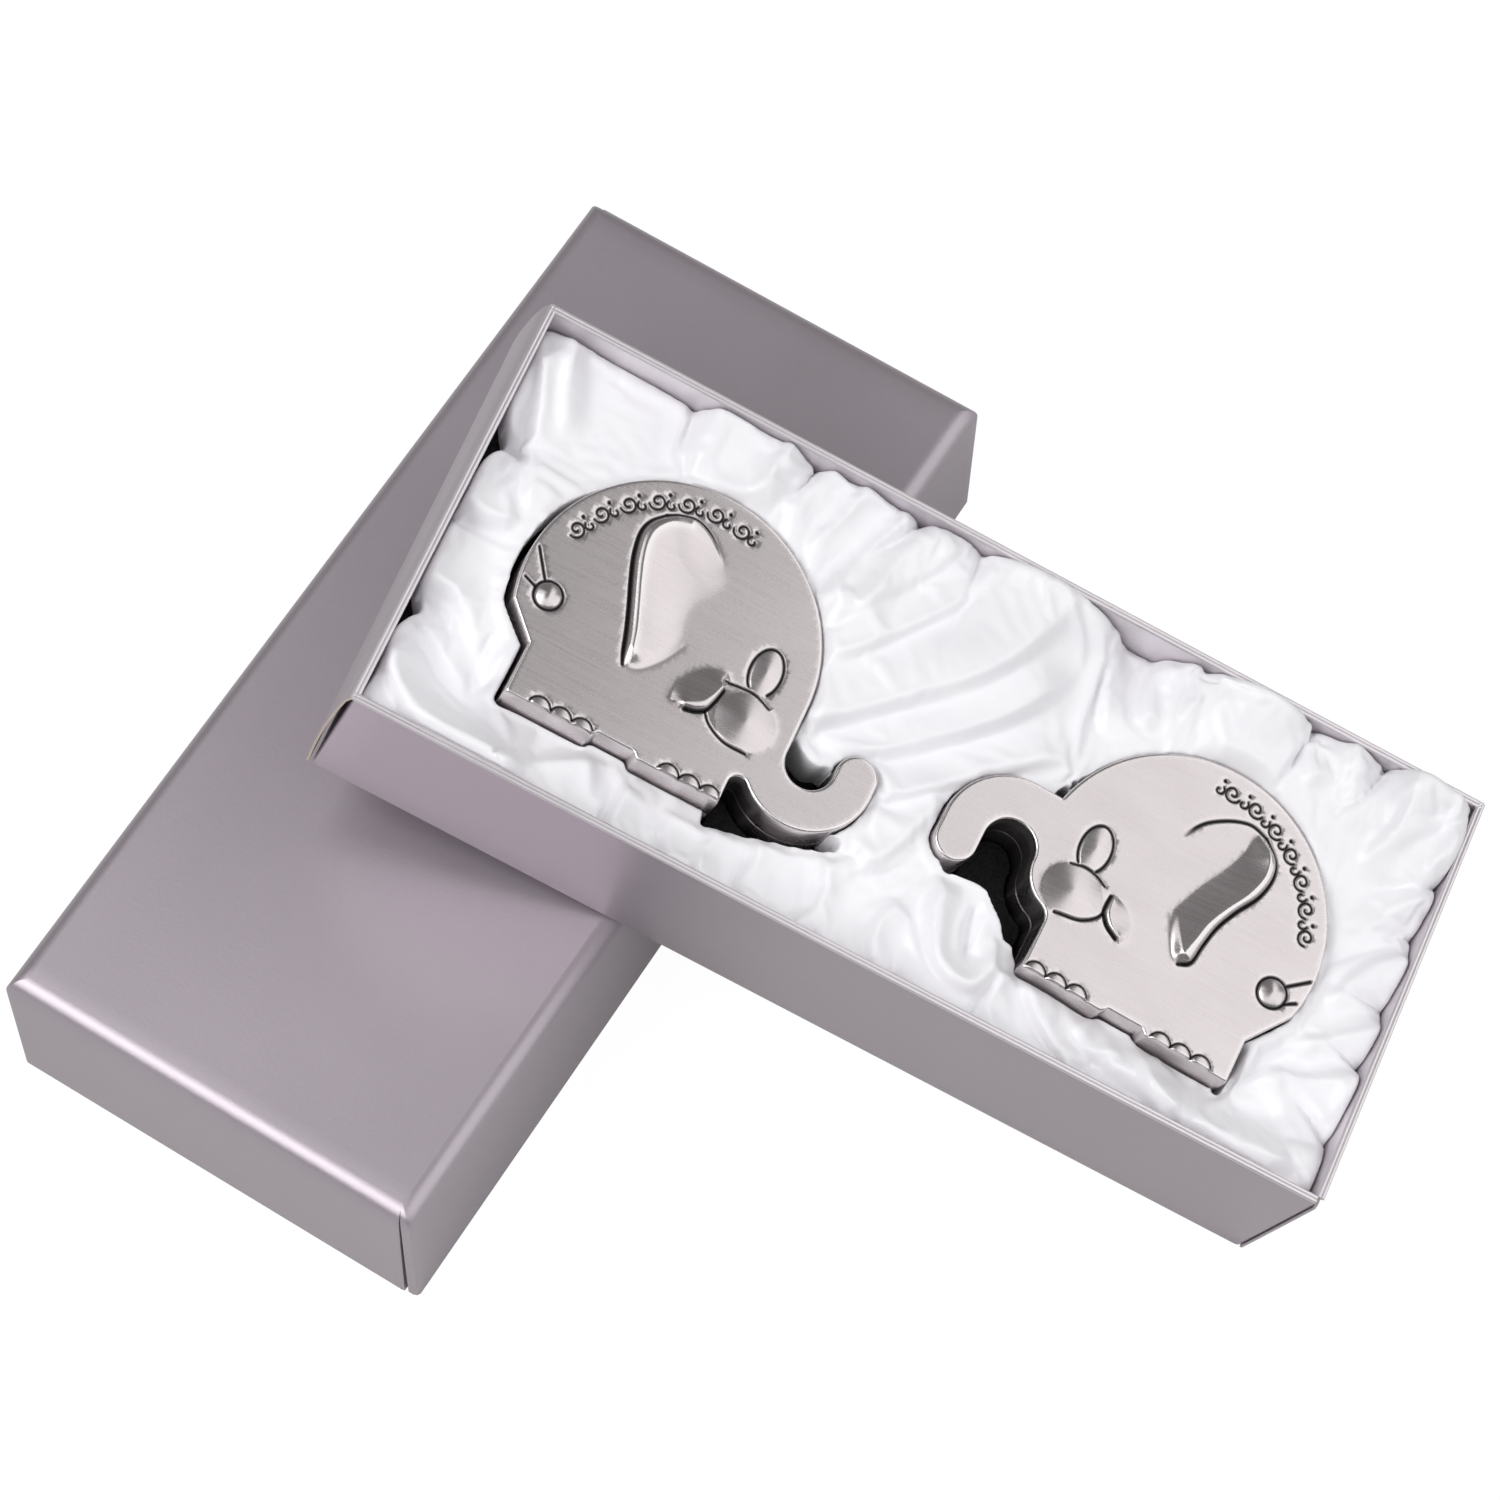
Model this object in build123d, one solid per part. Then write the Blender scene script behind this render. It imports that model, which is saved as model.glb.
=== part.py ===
from build123d import *
import math
import os

# A baby's first-tooth and first-curl gift set, laid out as it is shown off.
# A silver card lid lies closed face up on the table. The silver card tray leans on the
# lid's right top edge and stands on its own lowest corner. In the tray lie two small
# cast boxes shaped like elephants, one for a tooth and one for a curl of hair, bedded in
# black foam and surrounded by gathered white satin over wadding.
# All lengths are millimetres. Z is up, Y runs along the lid and X across it.

# Gift lid; its length and the tray's follow from the boxes that lie in the tray
lid_width = 80.0
lid_height = 34.0
lid_wall = 1.2
lid_top = 0.9
lid_fold_radius = 2.5
lid_slit_inset = 2.0
lid_slit_width = 0.6
lid_slit_depth = 0.5

# Gift tray; its height follows from the boxes that lie in it
tray_clearance = 0.4
rim_above_boxes = 3.0
tray_wall = 1.2
tray_floor = 0.9
card_ply = 0.5
rim_bead = 0.9
rim_round = 0.5
left_flap_bow = 1.5
right_flap_bow = 0.5
corner_tab_reach = 6.0
lid_tab_drop = 3.0

# How the tray leans on the lid
tray_turn = 8.8
lean_reach = 114.7
corner_along_lid = -8.5
lean_gap = 0.2

# Filling of the tray
filling_gap = 0.3
foam_base_height = 12.9
foam_fit = 0.4
satin_fit = 0.9
satin_seat = 0.2
satin_below_rim = 2.0
satin_puff = 7.5
satin_least_depth = 5.2

# Cast boxes, shared sizes
body_radius = 26.0
box_height = 20.0
box_lid_height = 7.5
box_wall = 2.5
box_floor = 2.0
lid_skin = 1.8
lip_depth = 1.6
lip_thickness = 1.0
lip_clearance = 0.15
seam_gap = 0.1
edge_round = 0.6
seat_gap = 0.2
felt_height = 0.5
felt_inset = 2.0
pad_height = 0.8
pad_gap = 0.2

# Legs and back, shared by both boxes
rear_leg_inset = 6.5
front_leg_inset = 6.7
haunch_angle = 196.5
belly_front = 4.3
belly_rear = -4.0
belly_rise = 1.0
belly_slope = 1.0

# Tooth box: the trunk hangs down and its tip curls up
box_spacing = 12.0
tooth_end_margin = 13.8
tooth_off_middle = -2.0
tooth_turn = 0.0
tooth_foot_drop = 22.2
tooth_notch_drop = 13.0
low_hook_radius = 4.2
low_trunk_width = 7.2
low_hook_drop = 9.0
low_tip_length = 1.8
armpit_radius = 1.6

# Curl box: the trunk is raised and its tip hooks down
curl_end_margin = 13.2
curl_off_middle = -2.5
curl_turn = -2.0
curl_foot_drop = 23.0
curl_notch_drop = 15.0
high_hook_radius = 4.5
high_trunk_width = 7.5
high_hook_drop = 5.7
high_hook_lead = 3.8
high_tip_length = 3.6
chin_radius = 6.5
chin_sweep = 70.0

# Relief on the two box lids
ear_rise = 1.3
ear_round = 1.0
ear_outline_shares = (
    (0.20, 0.46), (0.05, 0.645), (-0.18, 0.735), (-0.375, 0.64), (-0.415, 0.42),
    (-0.295, 0.08), (-0.195, -0.29), (-0.125, -0.335), (0.03, -0.19), (0.13, 0.0),
    (0.12, 0.24),
)
eye_inset = 9.0
eye_level = 1.0
eye_half_width = 2.5
eye_half_height = 4.4
eye_rise = 0.6
eye_round = 0.5
cheek_inset = 9.0
cheek_drop = 7.6
cheek_radius = 5.2
cheek_rise = 1.3
cheek_crease_start = 195.0
cheek_crease_sweep = 85.0
smile_inset = 18.0
smile_drop = 6.4
smile_radius = 4.2
smile_start = -80.0
smile_sweep = 85.0
tail_inset = 6.0
tail_drop = 4.6
tail_ball_radius = 2.4
tail_ball_rise = 0.9
tail_angle = 138.0
tail_width = 2.0
tail_rise = 0.4
nail_radius = 1.95
nail_rise = 0.55
nail_pitch = 3.85
rear_nail_inset = 9.8
front_nail_inset = 5.6
nail_crease_start = 10.0
nail_crease_sweep = 160.0
groove_width = 0.5
groove_depth = 0.35

# Overrun past a face for every cut
overrun = 1.0

# Sizes worked out from the ones above
rear_leg = body_radius - rear_leg_inset
front_leg = body_radius - front_leg_inset
low_hook_reach = body_radius + low_hook_radius
high_hook_reach = body_radius + high_hook_lead
tooth_box_length = body_radius + low_hook_reach + low_hook_radius + low_trunk_width
curl_box_length = body_radius + high_hook_reach + high_hook_radius + high_trunk_width
end_margins = tooth_end_margin + curl_end_margin
tray_length = tooth_box_length + box_spacing + curl_box_length + end_margins + 2 * tray_wall
lid_length = tray_length + 2 * tray_clearance + 2 * lid_wall
tray_width = lid_width - 2 * lid_wall - 2 * tray_clearance
nest_floor = tray_floor + foam_base_height
box_bottom = nest_floor + seat_gap + felt_height
box_base_height = box_height - box_lid_height
lid_bottom = box_bottom + box_base_height + seam_gap
face_height = box_bottom + box_height
tray_height = face_height + rim_above_boxes
satin_high = tray_height - satin_below_rim
satin_low = satin_high - satin_puff
foam_top = satin_low - satin_least_depth
foam_cutout_height = foam_top - nest_floor
eye_centre = (body_radius - eye_inset, eye_level)
cheek_centre = (body_radius - cheek_inset, -cheek_drop)
smile_centre = (body_radius - smile_inset, -smile_drop)
tail_ball = (tail_inset - body_radius, -tail_drop)
nail_middles = (rear_nail_inset - rear_leg, front_leg - front_nail_inset)
end_room = tray_length / 2 - tray_wall - body_radius
tooth_centre = (tooth_end_margin - end_room, tooth_off_middle)
curl_centre = (end_room - curl_end_margin, curl_off_middle)


def polar(centre, radius, angle):
    """The point at an angle, in degrees, on a circle."""
    turn = math.radians(angle)
    return (centre[0] + radius * math.cos(turn), centre[1] + radius * math.sin(turn))


def prism(face, bottom, height):
    """A flat face in the XY plane, made solid from bottom up."""
    return extrude(Pos(0, 0, bottom) * face, amount=height, dir=(0, 0, 1))


def one_solid(shape):
    """The shape's single solid, so that every node is written as what it is."""
    solids = shape.solids()
    assert len(solids) == 1, f"expected one solid, found {len(solids)}"
    return solids[0]


# Leaning pose of the tray
def lean_angle():
    """How far the tray tips so that its floor touches the lid's rounded top edge."""
    rise = lid_height - lid_fold_radius
    slope = math.hypot(lean_reach, rise)
    return math.degrees(math.atan2(rise, lean_reach)
                        + math.asin((lid_fold_radius + lean_gap) / slope))


def leaning_location():
    """The place of the tray's own frame: its origin is the middle of its underside."""
    turn = Rot(0, lean_angle(), 0) * Rot(0, 0, tray_turn)
    corner = (turn * Pos(tray_length / 2, -tray_width / 2, 0)).position
    foot = Vector(lid_width / 2 - lid_fold_radius + lean_reach, corner_along_lid, 0)
    return Pos(*(foot - corner)) * turn


# Card parts
def make_gift_lid():
    """A closed top with four walls; a slit beside each corner ends the short walls."""
    shell = Pos(0, 0, lid_height / 2) * Box(lid_width, lid_length, lid_height)
    shell = fillet(shell.faces().sort_by(Axis.Z)[-1].edges(), lid_fold_radius)
    hollow_height = lid_height - lid_top
    shell -= Pos(0, 0, hollow_height / 2) * Box(
        lid_width - 2 * lid_wall, lid_length - 2 * lid_wall, hollow_height
    )
    slit_top = lid_height - lid_fold_radius
    slit = Plane.XZ * Polygon(
        (0, -overrun), (lid_slit_width, -overrun), (0, slit_top), align=None
    )
    slit = extrude(slit, amount=lid_slit_depth + overrun, dir=(0, 1, 0))
    slit_x = lid_width / 2 - lid_slit_inset - lid_slit_width
    for side in (-1, 1):
        for end in (-1, 1):
            cut = Pos(slit_x, -lid_length / 2 - overrun, 0) * slit
            if side < 0:
                cut = mirror(cut, about=Plane.YZ)
            if end > 0:
                cut = mirror(cut, about=Plane.XZ)
            shell -= cut
    return one_solid(shell)


def make_lid_corner_tab(side, end):
    """One of the glued card tabs that lie on the long walls' inner faces at the corners."""
    height = lid_height - lid_top - lid_tab_drop
    x = side * (lid_width / 2 - lid_wall - card_ply / 2)
    y = end * (lid_length / 2 - lid_wall - corner_tab_reach / 2)
    tab = Box(card_ply, corner_tab_reach, height)
    return one_solid(Pos(x, y, lid_tab_drop + height / 2) * tab)


def make_gift_tray():
    """Floor, walls and rolled rim; the end walls leave room for their outer flaps."""
    shell = Pos(0, 0, tray_height / 2) * Box(tray_length, tray_width, tray_height)
    inner_height = tray_height - tray_floor
    shell -= Pos(0, 0, tray_floor + (inner_height + overrun) / 2) * Box(
        tray_length - 2 * tray_wall, tray_width - 2 * tray_wall, inner_height + overrun
    )
    rim = shell.faces().sort_by(Axis.Z)[-1]
    shell = fillet(rim.edges(), min(rim_round, 0.45 * tray_wall))
    flap_height = tray_height - rim_bead - card_ply
    for end in (-1, 1):
        pocket = Box(card_ply + overrun, tray_width + 2 * overrun, flap_height)
        x = end * (tray_length / 2 - card_ply / 2 + overrun / 2)
        shell -= Pos(x, 0, card_ply + flap_height / 2) * pocket
    return one_solid(shell)


def make_end_flap(bow):
    """The outer ply of the left end wall, sprung outwards between floor and rim."""
    low, high = card_ply, tray_height - rim_bead
    outside, inside = -tray_length / 2, -tray_length / 2 + card_ply
    middle = (low + high) / 2
    with BuildSketch(Plane.XZ) as section:
        with BuildLine():
            ThreePointArc((outside, low), (outside - bow, middle), (outside, high))
            Line((outside, high), (inside, high))
            ThreePointArc((inside, high), (inside - bow, middle), (inside, low))
            Line((inside, low), (outside, low))
        make_face()
    return one_solid(extrude(section.sketch, amount=tray_width / 2, both=True))


# Outlines of the cast boxes, facing right, about the round body's centre
def sole_points(foot_drop, notch_drop):
    """The feet, the shallow belly arch between them and the haunch, front to back."""
    sole = -foot_drop
    return [
        (front_leg, sole), (belly_front, sole), (belly_front - belly_slope, sole + belly_rise),
        (belly_rear + belly_slope, sole + belly_rise), (belly_rear, sole), (-rear_leg, sole),
        (-rear_leg, -notch_drop), polar((0, 0), body_radius, haunch_angle),
    ]


def back_arc(end_angle):
    """The round back, from the haunch over the top to the given angle."""
    middle = (haunch_angle + end_angle) / 2
    ThreePointArc(
        polar((0, 0), body_radius, haunch_angle), polar((0, 0), body_radius, middle),
        polar((0, 0), body_radius, end_angle),
    )


def tooth_face():
    """The whole tooth box: the trunk drops from the forehead and curls up at its tip."""
    hook = (low_hook_reach, -low_hook_drop)
    outer = low_hook_radius + low_trunk_width
    tip_in, tip_out = hook[0] + low_hook_radius, hook[0] + outer
    tip_y = hook[1] + low_tip_length
    pit_x = front_leg + armpit_radius
    pit_y = hook[1] - math.sqrt((outer + armpit_radius) ** 2 - (hook[0] - pit_x) ** 2)
    meet_angle = math.degrees(math.atan2(pit_y - hook[1], pit_x - hook[0]))
    meet = polar(hook, outer, meet_angle)
    pit_middle = polar((pit_x, pit_y), armpit_radius, 180 + meet_angle / 2)
    with BuildSketch() as face:
        with BuildLine():
            Polyline(*sole_points(tooth_foot_drop, tooth_notch_drop))
            back_arc(0)
            Line((body_radius, 0), (body_radius, hook[1]))
            ThreePointArc((body_radius, hook[1]), (hook[0], hook[1] - low_hook_radius),
                          (tip_in, hook[1]))
            Line((tip_in, hook[1]), (tip_in, tip_y))
            ThreePointArc((tip_in, tip_y), ((tip_in + tip_out) / 2, tip_y + low_trunk_width / 2),
                          (tip_out, tip_y))
            Line((tip_out, tip_y), (tip_out, hook[1]))
            ThreePointArc((tip_out, hook[1]), polar(hook, outer, meet_angle / 2), meet)
            ThreePointArc(meet, pit_middle, (front_leg, pit_y))
            Line((front_leg, pit_y), (front_leg, -tooth_foot_drop))
        make_face()
    return face.sketch


def curl_face():
    """The whole curl box, facing right: the trunk is raised and its tip hooks down."""
    hook = (high_hook_reach, -high_hook_drop)
    outer = high_hook_radius + high_trunk_width
    crown = hook[1] + outer
    brow_angle = math.degrees(math.asin(crown / body_radius))
    brow = polar((0, 0), body_radius, brow_angle)
    tip_in, tip_out = hook[0] + high_hook_radius, hook[0] + outer
    tip_y = hook[1] - high_tip_length
    throat = (hook[0] - high_hook_radius, hook[1])
    chin_centre = (throat[0] - chin_radius, hook[1])
    chin = polar(chin_centre, chin_radius, -chin_sweep)
    corner_radius = (chin[0] - front_leg) / (1 - math.cos(math.radians(chin_sweep)))
    corner = (front_leg + corner_radius,
              chin[1] - corner_radius * math.sin(math.radians(chin_sweep)))
    with BuildSketch() as face:
        with BuildLine():
            Polyline(*sole_points(curl_foot_drop, curl_notch_drop))
            back_arc(brow_angle)
            Line(brow, (hook[0], crown))
            ThreePointArc((hook[0], crown), polar(hook, outer, 45), (tip_out, hook[1]))
            Line((tip_out, hook[1]), (tip_out, tip_y))
            ThreePointArc((tip_out, tip_y), ((tip_in + tip_out) / 2, tip_y - high_trunk_width / 2),
                          (tip_in, tip_y))
            Line((tip_in, tip_y), (tip_in, hook[1]))
            ThreePointArc((tip_in, hook[1]), (hook[0], hook[1] + high_hook_radius), throat)
            ThreePointArc(throat, polar(chin_centre, chin_radius, -chin_sweep / 2), chin)
            ThreePointArc(chin, polar(corner, corner_radius, 180 - chin_sweep / 2),
                          (front_leg, corner[1]))
            Line((front_leg, corner[1]), (front_leg, -curl_foot_drop))
        make_face()
    return face.sketch


def hollow_face(foot_drop, inset):
    """The arch-shaped hollow inside the legs and the round back, drawn in by the inset."""
    width = front_leg + rear_leg - 2 * inset
    height = body_radius + foot_drop - belly_rise - 2 * inset
    slab = Pos((front_leg - rear_leg) / 2, body_radius - inset - height / 2) * Rectangle(
        width, height
    )
    return Circle(body_radius - inset) & slab


# Relief
def dome(centre, radius, rise):
    """A shallow round boss that stands on the lid's face."""
    ball_radius = (radius ** 2 + rise ** 2) / (2 * rise)
    ball = Pos(centre[0], centre[1], face_height + rise - ball_radius) * Sphere(ball_radius)
    keep = Pos(centre[0], centre[1], face_height) * Cylinder(
        radius + overrun, rise + overrun, align=(Align.CENTER, Align.CENTER, Align.MIN)
    )
    return ball & keep


def groove(line):
    """A shallow engraved line in the lid's face."""
    return prism(trace(line, groove_width), face_height - groove_depth,
                 groove_depth + ear_rise + overrun)


def ear_relief():
    """The raised ear flap with its rounded edge."""
    points = [(body_radius * x, body_radius * y) for x, y in ear_outline_shares]
    face = make_face(Spline(*points, periodic=True))
    flap = prism(face, face_height - overrun, overrun + ear_rise)
    return fillet(flap.faces().sort_by(Axis.Z)[-1].edges(), ear_round)


def eye_relief():
    """The raised oval eye."""
    face = Pos(*eye_centre) * Ellipse(eye_half_width, eye_half_height)
    bead = prism(face, face_height - overrun, overrun + eye_rise)
    return fillet(bead.faces().sort_by(Axis.Z)[-1].edges(), eye_round)


def tail_relief():
    """The tail's stalk, from its ball out to the round back."""
    length = body_radius - math.hypot(*tail_ball) + tail_ball_radius
    bar = Pos(length / 2, 0, face_height - overrun + (overrun + tail_rise) / 2) * Box(
        length, tail_width, overrun + tail_rise
    )
    return Pos(tail_ball[0], tail_ball[1], 0) * Rot(0, 0, tail_angle) * bar


def nail_centres(foot_drop):
    """The three toenails of each foot, on the sole's edge."""
    return [
        (middle + step * nail_pitch, -foot_drop)
        for middle in nail_middles
        for step in (-1, 0, 1)
    ]


def add_relief(lid, outline, foot_drop):
    """Ear, eye, cheek, smile, tail and toenails on a lid's face."""
    inside = prism(outline, box_bottom, box_height + ear_rise + overrun)
    raised = [
        ear_relief(), eye_relief(), dome(cheek_centre, cheek_radius, cheek_rise),
        tail_relief(), dome(tail_ball, tail_ball_radius, tail_ball_rise),
    ]
    raised += [dome(nail, nail_radius, nail_rise) for nail in nail_centres(foot_drop)]
    above = Pos(0, 0, face_height - edge_round) * Box(
        4 * body_radius, 4 * body_radius, 2 * body_radius,
        align=(Align.CENTER, Align.CENTER, Align.MIN),
    )
    for feature in raised:
        lid += feature & inside & above
    lines = [
        CenterArc(cheek_centre, cheek_radius + groove_width / 2,
                  cheek_crease_start, cheek_crease_sweep),
        CenterArc(smile_centre, smile_radius, smile_start, smile_sweep),
        CenterArc(tail_ball, tail_ball_radius + groove_width / 2, 0, 360),
    ]
    for nail in nail_centres(foot_drop):
        lines.append(CenterArc(nail, nail_radius + groove_width / 2,
                               nail_crease_start, nail_crease_sweep))
    for line in lines:
        lid -= groove(line)
    return lid


# Cast box pieces
def make_box_base(outline, foot_drop):
    """The lower casting, open at the top."""
    base = prism(outline, box_bottom, box_base_height)
    base -= prism(hollow_face(foot_drop, box_wall), box_bottom + box_floor, box_base_height)
    return one_solid(base)


def make_box_lid(outline, foot_drop):
    """The upper casting, with a lip that drops into the base's hollow."""
    lid = prism(outline, lid_bottom, face_height - lid_bottom)
    lid = fillet(lid.faces().sort_by(Axis.Z)[-1].edges(), edge_round)
    lid = add_relief(lid, outline, foot_drop)
    lip = hollow_face(foot_drop, box_wall + lip_clearance)
    lip_inside = hollow_face(foot_drop, box_wall + lip_clearance + lip_thickness)
    lid += prism(lip, lid_bottom - lip_depth, lip_depth + lid_skin)
    inner_height = face_height - lid_skin - lid_bottom + lip_depth
    lid -= prism(lip_inside, lid_bottom - lip_depth, inner_height)
    return one_solid(lid)


def make_box_pad(foot_drop):
    """The dark velvet pad on the base's inner floor."""
    face = hollow_face(foot_drop, box_wall + pad_gap)
    return one_solid(prism(face, box_bottom + box_floor, pad_height))


def make_box_felt(foot_drop):
    """The felt glued under the base."""
    face = hollow_face(foot_drop, felt_inset)
    return one_solid(prism(face, box_bottom - felt_height, felt_height))


# Filling of the tray
def filling_block(bottom, height):
    """A block that fills the tray from wall to wall, with the usual gap."""
    return Pos(0, 0, bottom + height / 2) * Box(
        tray_length - 2 * tray_wall - 2 * filling_gap,
        tray_width - 2 * tray_wall - 2 * filling_gap, height,
    )


def nest_tools(places, fit, bottom, height):
    """The room for both boxes, wider than each box by the fit."""
    tooth = prism(offset(tooth_face(), amount=fit), bottom, height)
    curl = prism(offset(curl_face(), amount=fit), bottom, height)
    return [places[0] * tooth, places[1] * mirror(curl, about=Plane.YZ)]


# Satin heights at stations along the tray, as shares from its low to its high level:
# near edge, near puff, near valley, middle, far valley, far puff, far edge
satin_station_shares = (-1.0, -0.9, -0.8, -0.68, -0.54, -0.4, -0.26, -0.13, 0.0,
                        0.13, 0.27, 0.4, 0.54, 0.68, 0.8, 0.91, 1.0)
satin_height_shares = (
    (0.05, 0.35, 0.45, 0.60, 0.50, 0.45, 0.15), (0.10, 0.50, 0.70, 0.85, 0.75, 0.70, 0.30),
    (0.05, 0.35, 0.45, 0.70, 0.80, 0.85, 0.35), (0.15, 0.55, 0.40, 0.60, 0.70, 0.80, 0.25),
    (0.05, 0.30, 0.35, 0.60, 0.75, 0.90, 0.40), (0.20, 0.60, 0.40, 0.60, 0.65, 0.75, 0.20),
    (0.10, 0.45, 0.35, 0.60, 0.75, 0.90, 0.45), (0.25, 0.60, 0.45, 0.55, 0.70, 0.80, 0.50),
    (0.15, 0.65, 0.60, 0.65, 0.80, 0.95, 0.60), (0.10, 0.75, 0.65, 0.60, 0.75, 0.90, 0.45),
    (0.25, 0.85, 0.55, 0.68, 0.65, 0.75, 0.20), (0.10, 0.45, 0.40, 0.60, 0.75, 0.95, 0.50),
    (0.20, 0.60, 0.40, 0.60, 0.70, 0.80, 0.35), (0.05, 0.35, 0.35, 0.65, 0.75, 0.85, 0.45),
    (0.15, 0.60, 0.45, 0.75, 0.80, 0.85, 0.30), (0.10, 0.70, 0.65, 0.90, 0.75, 0.90, 0.45),
    (0.05, 0.30, 0.45, 0.60, 0.55, 0.45, 0.15),
)
satin_break_shares = (-1.0, -0.83, -0.66, 0.0, 0.66, 0.83, 1.0)


def satin_section(x, heights):
    """One upright slice of the satin: a flat base and three rounded puffs on top."""
    half = tray_width / 2 - tray_wall - filling_gap
    bottom = foam_top + satin_seat
    spread = satin_high - satin_low
    top = [
        (half * share, satin_low + spread * height)
        for share, height in zip(satin_break_shares, heights)
    ]
    start, end = (-half, bottom), (half, bottom)
    with BuildSketch(Plane(origin=(x, 0, 0), x_dir=(0, 1, 0), z_dir=(1, 0, 0))) as slice_:
        with BuildLine():
            Line(start, top[0])
            for puff in (0, 2, 4):
                ThreePointArc(top[puff], top[puff + 1], top[puff + 2])
            Line(top[6], end)
            Line(end, start)
        make_face()
    return slice_.sketch


def make_satin(places):
    """The gathered satin on its wadding, from wall to wall, with a well for each box."""
    half = tray_length / 2 - tray_wall - filling_gap
    slices = [
        satin_section(half * share, heights)
        for share, heights in zip(satin_station_shares, satin_height_shares)
    ]
    cushion = loft(slices)
    bottom = foam_top
    height = tray_height + overrun - bottom
    for tool in nest_tools(places, satin_fit, bottom, height):
        cushion -= tool
    return one_solid(cushion)


def make_cast_box(outline, foot_drop):
    """One cast box's four pieces, facing right, by name."""
    return {
        "base": make_box_base(outline, foot_drop),
        "lid": make_box_lid(outline, foot_drop),
        "velvet_pad": make_box_pad(foot_drop),
        "felt_foot": make_box_felt(foot_drop),
    }


def make_foam_cutout(places):
    """The upper foam, cut through to the outline of each box."""
    foam = filling_block(nest_floor, foam_cutout_height)
    depth = foam_cutout_height + 2 * overrun
    for tool in nest_tools(places, foam_fit, nest_floor - overrun, depth):
        foam -= tool
    return one_solid(foam)


def build_parts():
    """Every node in the row's frame, by name."""
    tooth_place = Pos(*tooth_centre, 0) * Rot(0, 0, tooth_turn)
    curl_place = Pos(*curl_centre, 0) * Rot(0, 0, curl_turn)
    places = (tooth_place, curl_place)
    in_tray = {
        "gift_tray": make_gift_tray(),
        "tray_left_flap": make_end_flap(left_flap_bow),
        "tray_right_flap": mirror(make_end_flap(right_flap_bow), about=Plane.YZ),
        "foam_base": one_solid(filling_block(tray_floor, foam_base_height)),
        "foam_cutout": make_foam_cutout(places),
        "satin_lining": make_satin(places),
    }
    tooth_box = make_cast_box(tooth_face(), tooth_foot_drop)
    curl_box = make_cast_box(curl_face(), curl_foot_drop)
    for piece, solid in tooth_box.items():
        in_tray[f"tooth_box_{piece}"] = tooth_place * solid
    for piece, solid in curl_box.items():
        in_tray[f"curl_box_{piece}"] = curl_place * mirror(solid, about=Plane.YZ)
    lean = leaning_location()
    parts = {name: lean * shape for name, shape in in_tray.items()}
    parts["gift_lid"] = make_gift_lid()
    for side, across in ((-1, "left"), (1, "right")):
        for end, along in ((-1, "near"), (1, "far")):
            parts[f"lid_corner_tab_{along}_{across}"] = make_lid_corner_tab(side, end)
    low = min(shape.bounding_box().min.X for shape in parts.values())
    high = max(shape.bounding_box().max.X for shape in parts.values())
    centred = Pos(-(low + high) / 2, 0, 0)
    return {name: centred * shape for name, shape in parts.items()}


def main():
    os.makedirs("parts", exist_ok=True)
    for name, shape in build_parts().items():
        export_step(shape, f"parts/{name}.step")
        print(name, round(shape.volume, 1))


main()
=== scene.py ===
# %% [markdown]
# A gift set for a baby's first tooth and first curl. Two small cast pewter boxes shaped like
# elephants lie in a silver card tray, bedded in black foam and gathered white satin, and the
# tray leans on its own card lid. Sizes and places are those of the CAD part. This script adds what
# CAD leaves out: folded card, cast relief, patina, cloth, and the light that shows them.
# %% Load the frame
import math
import time
import bpy
import numpy as np
from mathutils import Matrix, Vector
from mathutils.geometry import delaunay_2d_cdt


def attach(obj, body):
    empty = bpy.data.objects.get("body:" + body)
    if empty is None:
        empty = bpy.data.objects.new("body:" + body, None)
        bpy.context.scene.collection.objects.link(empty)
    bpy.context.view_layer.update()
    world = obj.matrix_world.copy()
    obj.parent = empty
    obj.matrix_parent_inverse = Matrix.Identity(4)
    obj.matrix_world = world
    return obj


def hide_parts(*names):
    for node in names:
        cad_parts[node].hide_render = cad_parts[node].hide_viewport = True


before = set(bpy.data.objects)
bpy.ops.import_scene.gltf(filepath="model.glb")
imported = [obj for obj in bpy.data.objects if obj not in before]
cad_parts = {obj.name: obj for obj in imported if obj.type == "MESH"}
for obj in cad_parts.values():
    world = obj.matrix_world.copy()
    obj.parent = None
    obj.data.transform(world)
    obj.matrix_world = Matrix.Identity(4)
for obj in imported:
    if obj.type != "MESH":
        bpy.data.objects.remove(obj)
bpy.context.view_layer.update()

# %% [markdown]
# The card pieces and boxes are sized in millimetres, with the same driving sizes as the CAD part.
# The tray's own frame has its origin in the middle of its underside. The tray is turned a little,
# then tipped until its floor rests on the lid's rounded top edge, so one matrix carries everything
# in the tray from its own frame to the shared one.
# %% Sizes and the leaning place of the tray
mm = 0.001
lid_width, lid_height, lid_fold = 80.0, 34.0, 2.5
tray_clearance, card_wall, card_ply, card_floor = 0.4, 1.2, 0.5, 0.9
body_radius, haunch_angle, tooth_foot, curl_foot = 26.0, 196.5, 22.2, 23.0
box_wall, box_floor, lid_skin, seam_gap = 2.5, 2.0, 1.8, 0.1
lip_depth, lip_play, lip_wall = 1.6, 0.15, 1.0
felt_thickness, velvet_thickness, velvet_play = 0.5, 0.85, 0.25
tray_length, tray_turn, foam_seam, foam_top = 176.8, 8.8, 13.8, 22.8
lid_length = tray_length + 2 * tray_clearance + 2 * card_wall
tray_width = lid_width - 2 * card_wall - 2 * tray_clearance
box_bottom, lid_bottom, face_height, tray_height = 14.5, 27.1, 34.5, 37.5
lid_middle_x = -61.41216736            # centres the whole set on the shared frame's origin
lean_reach, lean_gap, corner_along_lid = 114.7, 0.2, -8.5
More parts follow.
